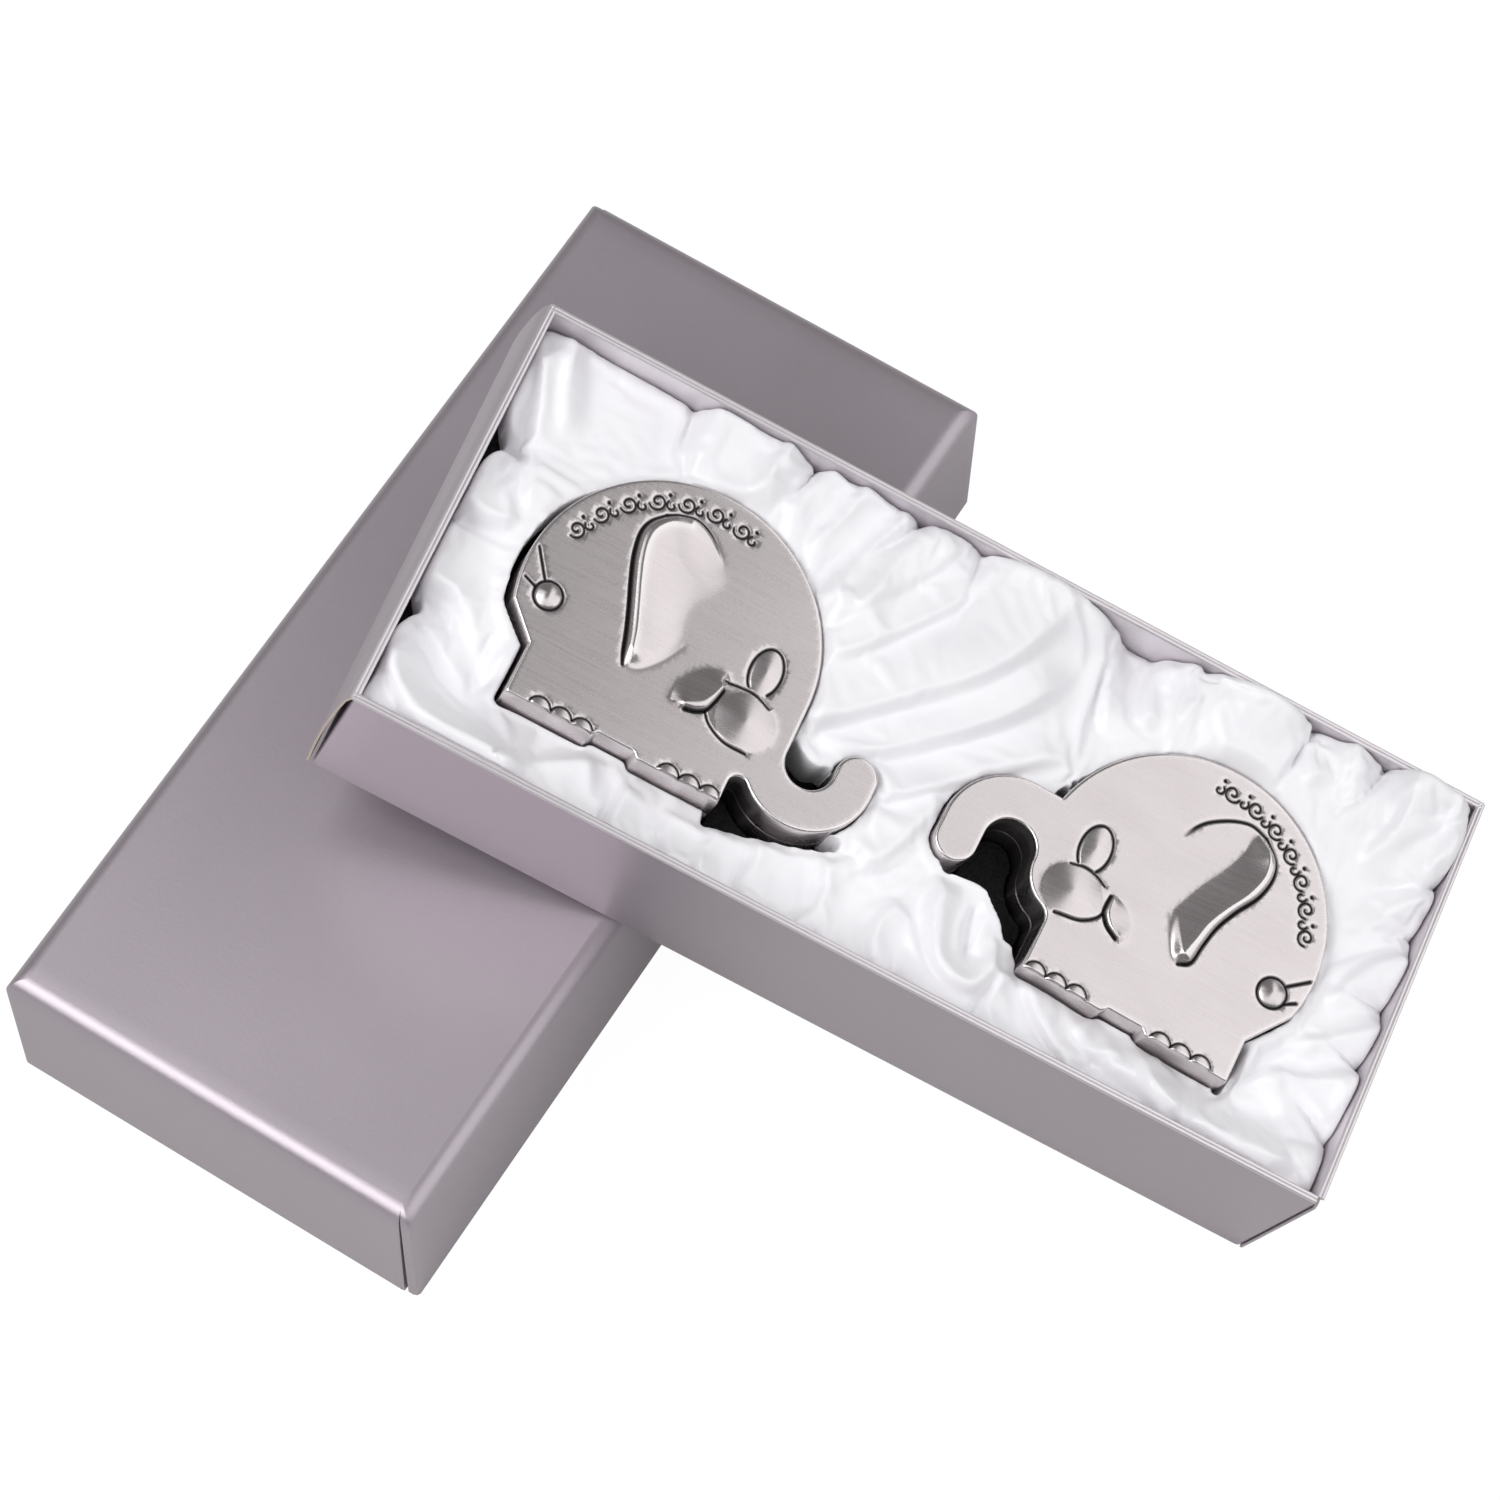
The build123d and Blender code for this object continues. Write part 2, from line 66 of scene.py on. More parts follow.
edge_up = lid_height - lid_fold
lean = math.atan2(edge_up, lean_reach)
lean += math.asin((lid_fold + lean_gap) / math.hypot(lean_reach, edge_up))
tipped = Matrix.Rotation(lean, 4, "Y") @ Matrix.Rotation(math.radians(tray_turn), 4, "Z")
corner = tipped @ Vector((tray_length / 2, -tray_width / 2, 0))
foot = Vector((lid_width / 2 - lid_fold + lean_reach + lid_middle_x, corner_along_lid, 0))
in_tray = np.array(Matrix.Translation(foot - corner) @ tipped)
in_lid = np.array(Matrix.Translation((lid_middle_x, 0, 0)))
print("tray leans", round(math.degrees(lean), 3), "degrees")

# %% [markdown]
# The photograph looks steeply down from the front with a long lens. The place, the turn and the
# lens were fitted to the corners of the two card boxes, so the camera is written down as numbers.
# %% Camera
camera_data = bpy.data.cameras.new("studio_camera")
camera_data.lens, camera_data.sensor_width = 120.26, 36
camera = bpy.data.objects.new("studio_camera", camera_data)
camera.location = (0.16113, -0.30737, 0.79529)
camera.rotation_euler = [math.radians(a) for a in (25.7314, -1.115, 31.8894)]
bpy.context.collection.objects.link(camera)
bpy.context.scene.camera = camera
bpy.context.scene.view_settings.view_transform = "Standard"

# %% [markdown]
# Metal shows its surroundings, so the light matters as much as the finish. Softboxes hang overhead
# to the right and the front, and one leans in from the right. The gap between them and the left
# one stays dim, which is why every slope that faces left is dark in the photograph and its
# boundary is crisp, while slopes that face right or forward shine.
# %% Lamps
def add_softbox(name, middle, size, level, turn=0, tilt=0):
    """A softbox that faces down, or leans to the left; its level is what a mirror shows of it."""
    lamp = bpy.data.lights.new(name, "AREA")
    lamp.shape, lamp.size, lamp.size_y = "RECTANGLE", *size
    lamp.energy = level * math.pi * size[0] * size[1]
    holder = bpy.data.objects.new(name, lamp)
    holder.location, holder.rotation_euler = middle, (0, math.radians(tilt), math.radians(turn))
    bpy.context.collection.objects.link(holder)


add_softbox("right_softbox", (0.97, 1.13, 1.2), (1.4, 4.1), 1.16, turn=tray_turn)
add_softbox("left_softbox", (-0.66, -0.42, 1.21), (0.75, 1.6), 1.08)
add_softbox("front_softbox", (-0.56, -1.25, 1.2), (0.8, 2.1), 3.5)
add_softbox("near_softbox", (0.16, -1.1, 1.19), (0.62, 1.5), 1.1)
add_softbox("side_softbox", (2.35, 1.0, 0.78), (1.3, 2.8), 1.2, tilt=62)

# %% [markdown]
# Shader sums read best as sums. This class wraps a socket so that + - * ** make Math nodes, and
# one method adds any other node: its settings first, then its sockets. It serves the trees of
# Geometry Nodes below as well.
# %% Shader maths
class Wire:
    """A socket of a node tree that takes part in Python sums."""

    def __init__(self, tree, socket=None):
        self.tree, self.socket = tree, socket

    def node(self, kind, settings=(), sockets=(), out=0):
        """Adds a node, sets it up, joins its sockets and gives back one output."""
        made = self.tree.nodes.new(kind)
        for key, value in dict(settings).items():
            setattr(made, key, value)
        for key, value in dict(sockets).items():
            if isinstance(value, Wire):
                self.tree.links.new(value.socket, made.inputs[key])
            else:
                made.inputs[key].default_value = value
        return Wire(self.tree, made.outputs[out])

    def sum(self, operation, first, second, clamp=False):
        """A Math node over two values, each a wire or a number."""
        settings = {"operation": operation, "use_clamp": clamp}
        return self.node("ShaderNodeMath", settings, {0: first, 1: second})

    def __add__(self, other): return self.sum("ADD", self, other)
    def __radd__(self, other): return self.sum("ADD", other, self)
    def __sub__(self, other): return self.sum("SUBTRACT", self, other)
    def __mul__(self, other): return self.sum("MULTIPLY", self, other)
    def __pow__(self, other): return self.sum("POWER", self, other)

    def clamped(self):
        """This value, held between 0 and 1."""
        return self.sum("ADD", self, 0.0, clamp=True)

    def tint(self, low, high):
        """Mixes two colours by this value."""
        low, high = (c if isinstance(c, Wire) else (*c, 1) for c in (low, high))
        return self.node("ShaderNodeMix", {"data_type": "RGBA"}, {0: self, 6: low, 7: high}, 2)

    def noise(self, scale, detail, roughness=0.5):
        """Noise at this vector."""
        sockets = {"Vector": self, "Scale": scale, "Detail": detail, "Roughness": roughness}
        return self.node("ShaderNodeTexNoise", {}, sockets)

    def stretched(self, turn=(0, 0, 0), scale=(1, 1, 1)):
        """This vector, turned and stretched."""
        return self.node("ShaderNodeMapping", {}, {"Vector": self, 2: turn, 3: scale})

    def bump(self, depth, strength):
        """A bumped normal, with this value as the height."""
        sockets = {"Height": self, "Distance": depth, "Strength": strength}
        return self.node("ShaderNodeBump", {}, sockets)


def new_finish(name, **constants):
    """A material with one Principled shader: the material, the shader and Object coordinates."""
    material = bpy.data.materials.new(name)
    material.use_nodes = True
    shader = material.node_tree.nodes["Principled BSDF"]
    for key, value in constants.items():
        shader.inputs[key.replace("_", " ")].default_value = value
    return material, shader, Wire(material.node_tree).node("ShaderNodeTexCoord", out="Object")


def plug(shader, **wires):
    """Joins wires to the shader's varying inputs."""
    for key, wire in wires.items():
        wire.tree.links.new(wire.socket, shader.inputs[key.replace("_", " ")])


# %% [markdown]
# The floor and the surroundings are one idea seen two ways: rays from the camera and through glass
# find white, and all other rays find a dim, even room. The floor mixes its white with a matt
# shader, so that the shadow under the set still shows, and mirrors see only a little of its glow.
# %% Floor and surroundings
world = bpy.data.worlds.new("studio")
bpy.context.scene.world = world
world.use_nodes = True
sky = Wire(world.node_tree)
room_level = 0.2
seen = sky.node("ShaderNodeLightPath", out="Is Camera Ray")
through = sky.node("ShaderNodeLightPath", out="Is Transmission Ray")
white_share = (seen + through).clamped()
backdrop = world.node_tree.nodes["Background"]
level = white_share * (1 - room_level) + room_level
backdrop.inputs["Color"].default_value = (1, 1, 1, 1)
world.node_tree.links.new(level.socket, backdrop.inputs["Strength"])

floor_mesh = bpy.data.meshes.new("studio_floor")
reach = 3.0
floor_mesh.from_pydata([(-reach, -reach, 0), (reach, -reach, 0), (reach, reach, 0),
                        (-reach, reach, 0)], [], [(0, 1, 2, 3)])
floor = bpy.data.objects.new("studio_floor", floor_mesh)
bpy.context.collection.objects.link(floor)
floor_finish, floor_shader, floor_place = new_finish("white_floor", Roughness=0.9)
floor_shader.inputs["Base Color"].default_value = (0.55, 0.55, 0.55, 1)
looks = [floor_place.node("ShaderNodeLightPath", out=f"Is {ray} Ray")
         for ray in ("Camera", "Glossy", "Transmission")]
seen_white = (looks[0] * 0.86 + looks[1] * 0.17 + looks[2] * 0.8).clamped()
glow = floor_place.node("ShaderNodeEmission", {}, {"Color": (1, 1, 1, 1), "Strength": 1.12})
floor_tree = floor_finish.node_tree
matt = Wire(floor_tree, floor_shader.outputs[0])
mixed = matt.node("ShaderNodeMixShader", {}, {0: seen_white, 1: matt, 2: glow})
floor_tree.links.new(mixed.socket, floor_tree.nodes["Material Output"].inputs[0])
floor_mesh.materials.append(floor_finish)

# %% [markdown]
# The card is printed with a silver ink that has a breath of lilac in it, under a satin varnish. It
# is mostly metal to the shader, with a soft roughness that wanders slightly, a faint fibre grain
# and a few rubbed specks. The inside and the rims get lighter copies of the card: painted light for
# the bright reflections there. Where the board is cut, its raw tan core shows, so cut edges get
# their own finish.
# %% Card finishes
silver_card, shader, place = new_finish("silver_lilac_card", Metallic=0.72, Coat_Roughness=0.25,
                                       Coat_Weight=0.25)
cloud = place.noise(22, 3)
fibre = place.noise(1500, 3)
speck = place.noise(260, 1) ** 18 * 60
tone = (cloud * 0.7 + fibre * 0.3).tint((0.405, 0.36, 0.40), (0.50, 0.45, 0.49))
plug(shader, Base_Color=tone, Roughness=0.36 + cloud * 0.09 + fibre * 0.05,
     Normal=(fibre + speck * 0.2).bump(0.00003, 0.5))

# A lighter copy of the card for the tray's inside: painted light for the brighter reflections on
# the inner walls.
inner_card_painted_lighter, shader, place = new_finish("inner_silver_card", Metallic=0.85, Coat_Weight=0.2)
cloud = place.noise(26, 3)
plug(shader, Base_Color=cloud.tint((0.76, 0.72, 0.75), (0.86, 0.82, 0.85)),
     Roughness=0.36 + cloud * 0.08)

# A lighter copy of the card for the rolled rims: painted highlight for the bright line along each
# fold.
painted_highlight_rim, shader, place = new_finish("rubbed_rim_card", Metallic=0.85, Coat_Weight=0.2)
cloud = place.noise(60, 3)
plug(shader, Base_Color=cloud.tint((0.66, 0.625, 0.65), (0.78, 0.745, 0.77)),
     Roughness=0.3 + cloud * 0.1)

raw_card, shader, place = new_finish("raw_card_edge", Roughness=0.95)
pulp = place.noise(2500, 4)
plug(shader, Base_Color=pulp.tint((0.50, 0.42, 0.35), (0.72, 0.64, 0.56)),
     Normal=pulp.bump(0.0001, 0.6))

# %% [markdown]
# The boxes are cast pewter: brushed across the face in fine level streaks, with a black patina left
# in every groove and polish on the ridges. The mesh carries two values at its points, how dark it
# is there and how much the edge is rubbed, because they follow the relief exactly. The dark is the
# patina in grooves and seams, and also painted shade on walls that face one another, as inside the
# curled trunk.
# %% Pewter finish
pewter, shader, place = new_finish("cast_pewter", Metallic=1.0)
level_place = place.stretched(turn=(0, -lean, 0))
level_place = level_place.stretched(turn=(0, 0, math.radians(-tray_turn)))
streaks = level_place.stretched(scale=(60, 2600, 400)).noise(1, 3, 0.65)
blotch = level_place.stretched(scale=(90, 160, 160)).noise(1, 3)
grain = place.noise(2200, 2)
# This value holds the patina in grooves and seams, and painted shade on walls that face one
# another.
patina = place.node("ShaderNodeAttribute", {"attribute_name": "patina"}, out="Fac")
polish = place.node("ShaderNodeAttribute", {"attribute_name": "polish"}, out="Fac")
bare = (streaks * 0.6 + blotch * 0.4).tint((0.51, 0.465, 0.472), (0.70, 0.655, 0.66))
rubbed = (polish * 0.45).clamped().tint(bare, (0.86, 0.84, 0.835))
plug(shader, Base_Color=patina.clamped().tint(rubbed, (0.020, 0.017, 0.019)),
     Roughness=(0.235 + streaks * 0.09 + patina * 0.4 - polish * 0.05).clamped(),
     Normal=(streaks * 0.7 + grain * 0.3).bump(0.000035, 0.55))

# %% [markdown]
# The satin is bright white polyester. Satin has long floats of thread on its face, so it is smooth
# and glossy with a slight sheen, and the weave itself is too fine to see. A little bump at the
# scale of crumples keeps the highlights alive between the modelled folds.
# %% Cloth, foam, velvet and felt finishes
white_satin, shader, place = new_finish("white_satin", Sheen_Weight=0.35, Sheen_Roughness=0.35)
crumple = place.stretched(scale=(1, 1.7, 1)).noise(95, 3, 0.45)
thread = place.noise(6000, 1)
plug(shader, Base_Color=crumple.tint((0.84, 0.83, 0.865), (0.915, 0.91, 0.93)),
     Roughness=0.29 + thread * 0.08,
     Normal=(crumple * 0.96 + thread * 0.04).bump(0.00025, 0.3))

black_foam, shader, place = new_finish("black_foam", Roughness=0.97)
pores = place.node("ShaderNodeTexVoronoi", {"feature": "F1"}, {"Vector": place, "Scale": 1500})
plug(shader, Base_Color=pores.tint((0.004, 0.004, 0.005), (0.020, 0.018, 0.020)),
     Normal=pores.bump(0.0003, 0.8))

dark_velvet, shader, place = new_finish("dark_velvet", Roughness=0.9, Sheen_Weight=0.8)
nap = place.noise(1800, 3)
plug(shader, Base_Color=nap.tint((0.010, 0.008, 0.016), (0.035, 0.030, 0.045)),
     Normal=nap.bump(0.0003, 0.6))

dark_felt, shader, place = new_finish("dark_felt", Roughness=0.95, Sheen_Weight=0.3)
wool = place.stretched(scale=(1, 1, 0.4)).noise(1400, 5, 0.7)
plug(shader, Base_Color=wool.tint((0.012, 0.011, 0.013), (0.05, 0.046, 0.05)),
     Normal=wool.bump(0.0003, 0.7))

# %% [markdown]
# A few helpers make the meshes. The first writes a finished piece: millimetres in the piece's own
# frame go in, and metres in the shared frame come out. The others sample arcs and runs at an even
# spacing, join them to outlines, measure how far points lie from those, and fill them.
# %% Mesh helpers
def new_piece(name, points, faces, finishes, place, smooth=35, finish_index=None, values=None):
    """A mesh object at the origin whose points lie in the shared frame, in metres."""
    points = np.asarray(points, float)
    points = (points @ place[:3, :3].T + place[:3, 3]) * mm
    if np.linalg.det(place[:3, :3]) < 0:
        faces = [tuple(f)[::-1] for f in faces]
    mesh = bpy.data.meshes.new(name)
    mesh.from_pydata(points.tolist(), [], [tuple(int(i) for i in f) for f in faces])
    for finish in finishes:
        mesh.materials.append(finish)
    if finish_index is not None:
        mesh.polygons.foreach_set("material_index", np.asarray(finish_index, np.int32))
    for key, numbers in (values or {}).items():
        layer = mesh.attributes.new(key, "FLOAT", "POINT")
        layer.data.foreach_set("value", np.asarray(numbers, np.float32))
    mesh.polygons.foreach_set("use_smooth", np.ones(len(mesh.polygons), bool))
    mesh.set_sharp_from_angle(angle=math.radians(smooth))
    mesh.validate()
    mesh.update()
    piece = bpy.data.objects.new(name, mesh)
    bpy.context.collection.objects.link(piece)
    return piece


outline_step = 0.35


def arc(centre, radius, start, end, count=None):
    """Points along an arc, or along a spiral, from one angle to another in degrees."""
    if count is None:
        count = max(3, int(abs(math.radians(end - start)) * radius / outline_step) + 1)
    turn = np.radians(np.linspace(start, end, count))
    return np.column_stack([centre[0] + radius * np.cos(turn), centre[1] + radius * np.sin(turn)])


def run(*corners):
    """Points along straight runs between corners."""
    out = []
    for a, b in zip(np.array(corners, float)[:-1], np.array(corners, float)[1:]):
        count = max(2, int(np.hypot(*(b - a)) / outline_step) + 1)
        out.append(a + (b - a) * np.linspace(0, 1, count)[:, None])
    return np.vstack(out)


def loop(*parts):
    """Joins sampled parts to one closed, counter-clockwise outline without doubles."""
    line = np.vstack(parts)
    step = np.hypot(*(line - np.roll(line, 1, axis=0)).T)
    line = line[step > 0.02]
    x, y = line.T
    area = (x * np.roll(y, -1) - y * np.roll(x, -1)).sum()
    return line if area > 0 else line[::-1]


def away_from_runs(points, starts, ends):
    """Each point's distance to the nearest of many straight runs."""
    points = np.asarray(points, float)
    run_by, best, batch = ends - starts, np.full(len(points), 1e9), 4000
    size = np.maximum((run_by ** 2).sum(axis=1), 1e-12)
    for i in range(0, len(points), batch):
        part = points[i:i + batch, None, :] - starts[None]
        share = np.clip((part * run_by).sum(axis=2) / size, 0, 1)
        gap = part - share[..., None] * run_by
        best[i:i + batch] = np.sqrt((gap ** 2).sum(axis=2).min(axis=1))
    return best


def away_from(points, line, closed=False):
    """Each point's distance to a line of points."""
    line = np.asarray(line, float)
    ends = np.roll(line, -1, axis=0)
    return away_from_runs(points, *((line, ends) if closed else (line[:-1], ends[:-1])))


def flow(points, spacing=0.3):
    """A smooth line through its points, sampled at an even spacing."""
    p = np.array(points, float)
    p = np.vstack([2 * p[0] - p[1], p, 2 * p[-1] - p[-2]])
    out = []
    for a, b, c, d in zip(p[:-3], p[1:-2], p[2:-1], p[3:]):
        t = np.linspace(0, 1, max(3, int(np.linalg.norm(c - b) / spacing) + 1))[:-1, None]
        out.append(0.5 * (2 * b + (c - a) * t + (2 * a - 5 * b + 4 * c - d) * t ** 2
                          + (3 * b - a - 3 * c + d) * t ** 3))
    return np.vstack(out + [p[-2:-1]])


def inside(points, line):
    """Which points lie within a closed outline."""
    points, within = np.asarray(points, float), np.zeros(len(points), bool)
    x, y = points.T
    for (x0, y0), (x1, y1) in zip(line, np.roll(line, -1, axis=0)):
        if y0 != y1:
            crosses = (y0 > y) != (y1 > y)
            within ^= crosses & (x < (x1 - x0) * (y - y0) / (y1 - y0) + x0)
    return within


def signed(points, line):
    """Distance to a closed outline, positive within it."""
    return away_from(points, line, True) * np.where(inside(points, line), 1, -1)


def fill(loops, extra):
    """Triangles between closed outlines, over their points and any extra ones."""
    everything = [p for ring in loops for p in ring] + list(extra)
    edges, first = [], 0
    for ring in loops:
        edges += [(first + i, first + (i + 1) % len(ring)) for i in range(len(ring))]
        first += len(ring)
    flat = [Vector((float(p[0]), float(p[1]))) for p in everything]
    out = delaunay_2d_cdt(flat, edges, [], 0, 1e-7, True)
    points = np.array([tuple(p) for p in out[0]])
    origin = [o[0] if o else -1 for o in out[3]]
    faces = np.array(out[2])
    middle = points[faces].mean(axis=1)
    keep = inside(middle, loops[0])
    for hole in loops[1:]:
        keep &= ~inside(middle, hole)
    return points, faces[keep], origin


def squares(number):
    """The squares of a grid of point numbers, row by row."""
    tall, wide = number.shape
    return [(number[j, i], number[j, i + 1], number[j + 1, i + 1], number[j + 1, i])
            for j in range(tall - 1) for i in range(wide - 1)]


def smoothstep(value, low, high):
    """A share that rises gently from 0 at low to 1 at high."""
    share = np.clip((value - low) / (high - low), 0, 1)
    return share * share * (3 - 2 * share)


# %% [markdown]
# Both boxes share a round body, two legs and a flat haunch. The tooth box's trunk hangs down and
# curls up at its tip; the curl box's trunk is raised and hooks down. An outline is drawn facing
# right, about the middle of the round body, and the curl box is mirrored afterwards.
# %% Outlines of the two boxes
leg_front, leg_rear = 19.3, 19.5


def sole(foot, notch):
    """Feet, shallow belly arch and haunch, from the front to the rear."""
    turn = math.radians(haunch_angle)
    haunch = (body_radius * math.cos(turn), body_radius * math.sin(turn))
    return run((leg_front, -foot), (4.3, -foot), (3.3, 1 - foot), (-3, 1 - foot), (-4, -foot),
               (-leg_rear, -foot), (-leg_rear, -notch), haunch)


tooth_outline = loop(
    sole(tooth_foot, 13), arc((0, 0), body_radius, haunch_angle, 0), run((26, 0), (26, -9)),
    arc((30.2, -9), 4.2, 180, 360), run((34.4, -9), (34.4, -7.2)), arc((38, -7.2), 3.6, 180, 0),
    run((41.6, -7.2), (41.6, -9)), arc((30.2, -9), 11.4, 0, -135.68),
    arc((20.9, -18.083), 1.6, 44.32, 180), run((leg_front, -18.08), (leg_front, -tooth_foot)),
)
curl_outline = loop(
    sole(curl_foot, 15), arc((0, 0), body_radius, haunch_angle, 14.02),
    run((25.225, 6.3), (29.8, 6.3)), arc((29.8, -5.7), 12, 90, 0), run((41.8, -5.7), (41.8, -9.3)),
    arc((38.05, -9.3), 3.75, 0, -180), run((34.3, -9.3), (34.3, -5.7)),
    arc((29.8, -5.7), 4.5, 0, 180), arc((18.8, -5.7), 6.5, 0, -70),
    arc((21.92, -14.27), 2.62, 110, 180), run((leg_front, -14.27), (leg_front, -curl_foot)),
)
print("outline points", len(tooth_outline), len(curl_outline))


def in_box(centre, turn, mirrored):
    """The matrix that carries a box from its own frame to the tray's."""
    place = Matrix.Translation((*centre, 0)) @ Matrix.Rotation(math.radians(turn), 4, "Z")
    if mirrored:
        place = place @ Matrix.Scale(-1, 4, (1, 0, 0))
    return np.array(place)


tooth_in_tray = in_box((-47.4, -2.0), 0, False)
curl_in_tray = in_box((48.0, -2.5), -2.0, True)

# %% [markdown]
# A band of scrolls runs along the back of each lid: one plain motif of two curls and a dot, cut as
# an even stroke with dark patina in it. Geometry Nodes repeat the motif along an arc, which is what
# they are best at; the relief below then engraves a groove wherever a stroke runs.
# %% Scroll ornament by Geometry Nodes
def scroll_motif():
    """One motif as joined points: a big curl, a small counter-curl and a dot."""
    share = np.linspace(0, 1, 22)
    big = arc((-0.8, 0.1), 1.5 - 1.15 * share, -120, 280, 22)
    small = arc((1.5, -0.6), 0.95 - 0.6 * share, 120, 390, 22)
    dot = arc((1.35, 1.25), 0.16, 0, 360, 7)
    points, edges = [], []
    for line in (np.vstack([[(-2.3, -0.3), (-2.0, -0.9)], big]), small, dot):
        first = len(points)
        points += [(x, y, 0) for x, y in line]
        edges += [(first + i, first + i + 1) for i in range(len(line) - 1)]
    return points, edges


def new_tree(name, **inputs):
    """An empty node tree, as wires from its inputs by their names."""
    tree = bpy.data.node_groups.new(name, "GeometryNodeTree")
    for label, kind in {**inputs, "Finish": "Material"}.items():
        tree.interface.new_socket(label.replace("_", " "), in_out="INPUT",
                                  socket_type=f"NodeSocket{kind}")
    tree.interface.new_socket("Result", in_out="OUTPUT", socket_type="NodeSocketGeometry")
    return {end.name: Wire(tree, end) for end in tree.nodes.new("NodeGroupInput").outputs}


def end_tree(shape, finish):
    """Ends a tree: its instances become real, and its finish is set."""
    real = shape.node("GeometryNodeRealizeInstances", {}, {0: shape})
    painted = shape.node("GeometryNodeSetMaterial", {}, {"Geometry": real, "Material": finish})
    shape.tree.links.new(painted.socket, shape.tree.nodes.new("NodeGroupOutput").inputs[0])
    return shape.tree


def ornament_tree():
    """A node tree that repeats its input geometry along an arc, turned to follow it."""
    given = new_tree("scroll_along_arc", Motif="Geometry", Arc_Radius="Float", Start="Float",
                     Sweep="Float", Count="Int")
    motif = given["Motif"]
    bow = motif.node("GeometryNodeCurveArc", {"mode": "RADIUS"}, {
        "Resolution": 64, "Radius": given["Arc Radius"], "Start Angle": given["Start"],
        "Sweep Angle": given["Sweep"]})
    even = motif.node("GeometryNodeResampleCurve", {}, {"Curve": bow, "Count": given["Count"]})
    along = motif.node("GeometryNodeInputTangent")
    aim = motif.node("FunctionNodeAlignRotationToVector", {"axis": "X", "pivot_axis": "Z"},
                     {"Vector": along})
    spread = motif.node("GeometryNodeInstanceOnPoints", {},
                        {"Points": even, "Instance": motif, "Rotation": aim})
    return end_tree(spread, given["Finish"])


def made_by_nodes(name, mesh, tree, **inputs):
    """Runs a node tree on a mesh and gives back the result as a plain mesh."""
    source = bpy.data.objects.new(name, mesh)
    bpy.context.collection.objects.link(source)
    modifier = source.modifiers.new("nodes", "NODES")
    modifier.node_group = tree
    for item in tree.interface.items_tree:
        key = item.name.replace(" ", "_")
        if item.in_out == "INPUT" and key in inputs:
            modifier[item.identifier] = inputs[key]
    source.update_tag()
    seen = source.evaluated_get(bpy.context.evaluated_depsgraph_get())
    result = bpy.data.meshes.new_from_object(seen)
    bpy.data.objects.remove(source)
    return result


motif_mesh = bpy.data.meshes.new("scroll_motif")
motif_mesh.from_pydata(*scroll_motif(), [])
scroll_tree = ornament_tree()


def ornament_strokes(start, sweep, count):
    """The ornament's strokes on one lid, as run starts and run ends."""
    strokes = made_by_nodes("scroll", motif_mesh, scroll_tree, Arc_Radius=22.1, Count=count,
                            Start=math.radians(start), Sweep=math.radians(sweep),
                            Finish=pewter)
    points = np.array([v.co[:2] for v in strokes.vertices])
    ends = np.array([e.vertices[:] for e in strokes.edges])
    return points[ends[:, 0]], points[ends[:, 1]]


tooth_strokes = ornament_strokes(156, -78, 7)
curl_strokes = ornament_strokes(162, -74, 7)
print("ornament runs", len(tooth_strokes[0]), len(curl_strokes[0]))

# %% [markdown]
# The relief is a height over the lid's flat face, worked out at every point: an ear with a proud
# rear crest that slopes to the front, an oval eye, a domed cheek with a bulge behind its crease, a
# tail with a ball, three toenails to a foot, and engraved lines. A height is the simplest way to
# write it, because nothing in a cast relief overhangs. The same sums give the patina and the rub.
# %% Relief tables of the two lids
tooth_relief = {
    "ear_rear": [(-4.4, -8.8), (-5.1, -7), (-6.3, -3), (-7.7, 1), (-9.2, 5), (-10.5, 9),
                 (-11.1, 13), (-10.4, 15.6), (-8.4, 17.9)],
    "ear_top": [(-8.4, 17.9), (-6.4, 19), (-3.6, 19.6), (-0.6, 18.6), (1.6, 16.9), (3.9, 14.5)],
    "ear_fold": [(3.9, 14.5), (5.3, 12), (4.4, 9), (2.2, 6), (2.0, 2.5), (3.4, -1.2)],
    "ear_low": [(3.4, -1.2), (1.4, -5), (-1.1, -8), (-3.1, -9.0), (-4.4, -8.8)],
    "ear_crest": [(-4.3, 17.9), (-7.2, 16.8), (-9.0, 14.5), (-9.4, 12), (-8.9, 9), (-7.6, 5),
                  (-6.1, 1), (-4.7, -3), (-3.7, -7.5)],
    "ear_top_fade": (-2.0, 4.0), "ear_bend": 1.7, "ear_tip": 3.2, "ear_ease": 0.9,
    "bulge_high": 1.3,
    "bulge_side": [(4.9, -10.2), (4.8, -8.2), (5.9, -5.0), (8.4, -2.5), (11.4, -1.5), (12.4, -2.2)],
    "bulge_crest": [(11.6, -4.6), (10.9, -6.6), (9.7, -8.5), (7.2, -10.0)],
    "eye": (17.3, 1.5), "cheek": (17.6, -7.8, 5.4, 4.9),
    "crease": [(12.3, -4.7), (11.7, -7.3), (10.9, -9.3), (9.4, -10.3), (7.7, -10.7)],
    "jaw": [(10.9, -9.3), (12.3, -10.9), (14.4, -12.1), (16.6, -12.7), (19.9, -12.7)],
    "brow": [(11.9, -3.2), (14.5, -2.8), (17.3, -2.75), (20.2, -3.9)],
    "tail": (-20.0, -4.3, 2.35),
    "stalk": [[(-21.6, -2.1), (-24.8, 2.6)], [(-22.5, -3.9), (-24.7, -3.1)]],
    "nails": [(x, -tooth_foot) for x in (-13.4, -9.6, -5.8, 9.9, 13.7, 17.4)],
    "strokes": tooth_strokes, "outline": tooth_outline,
}
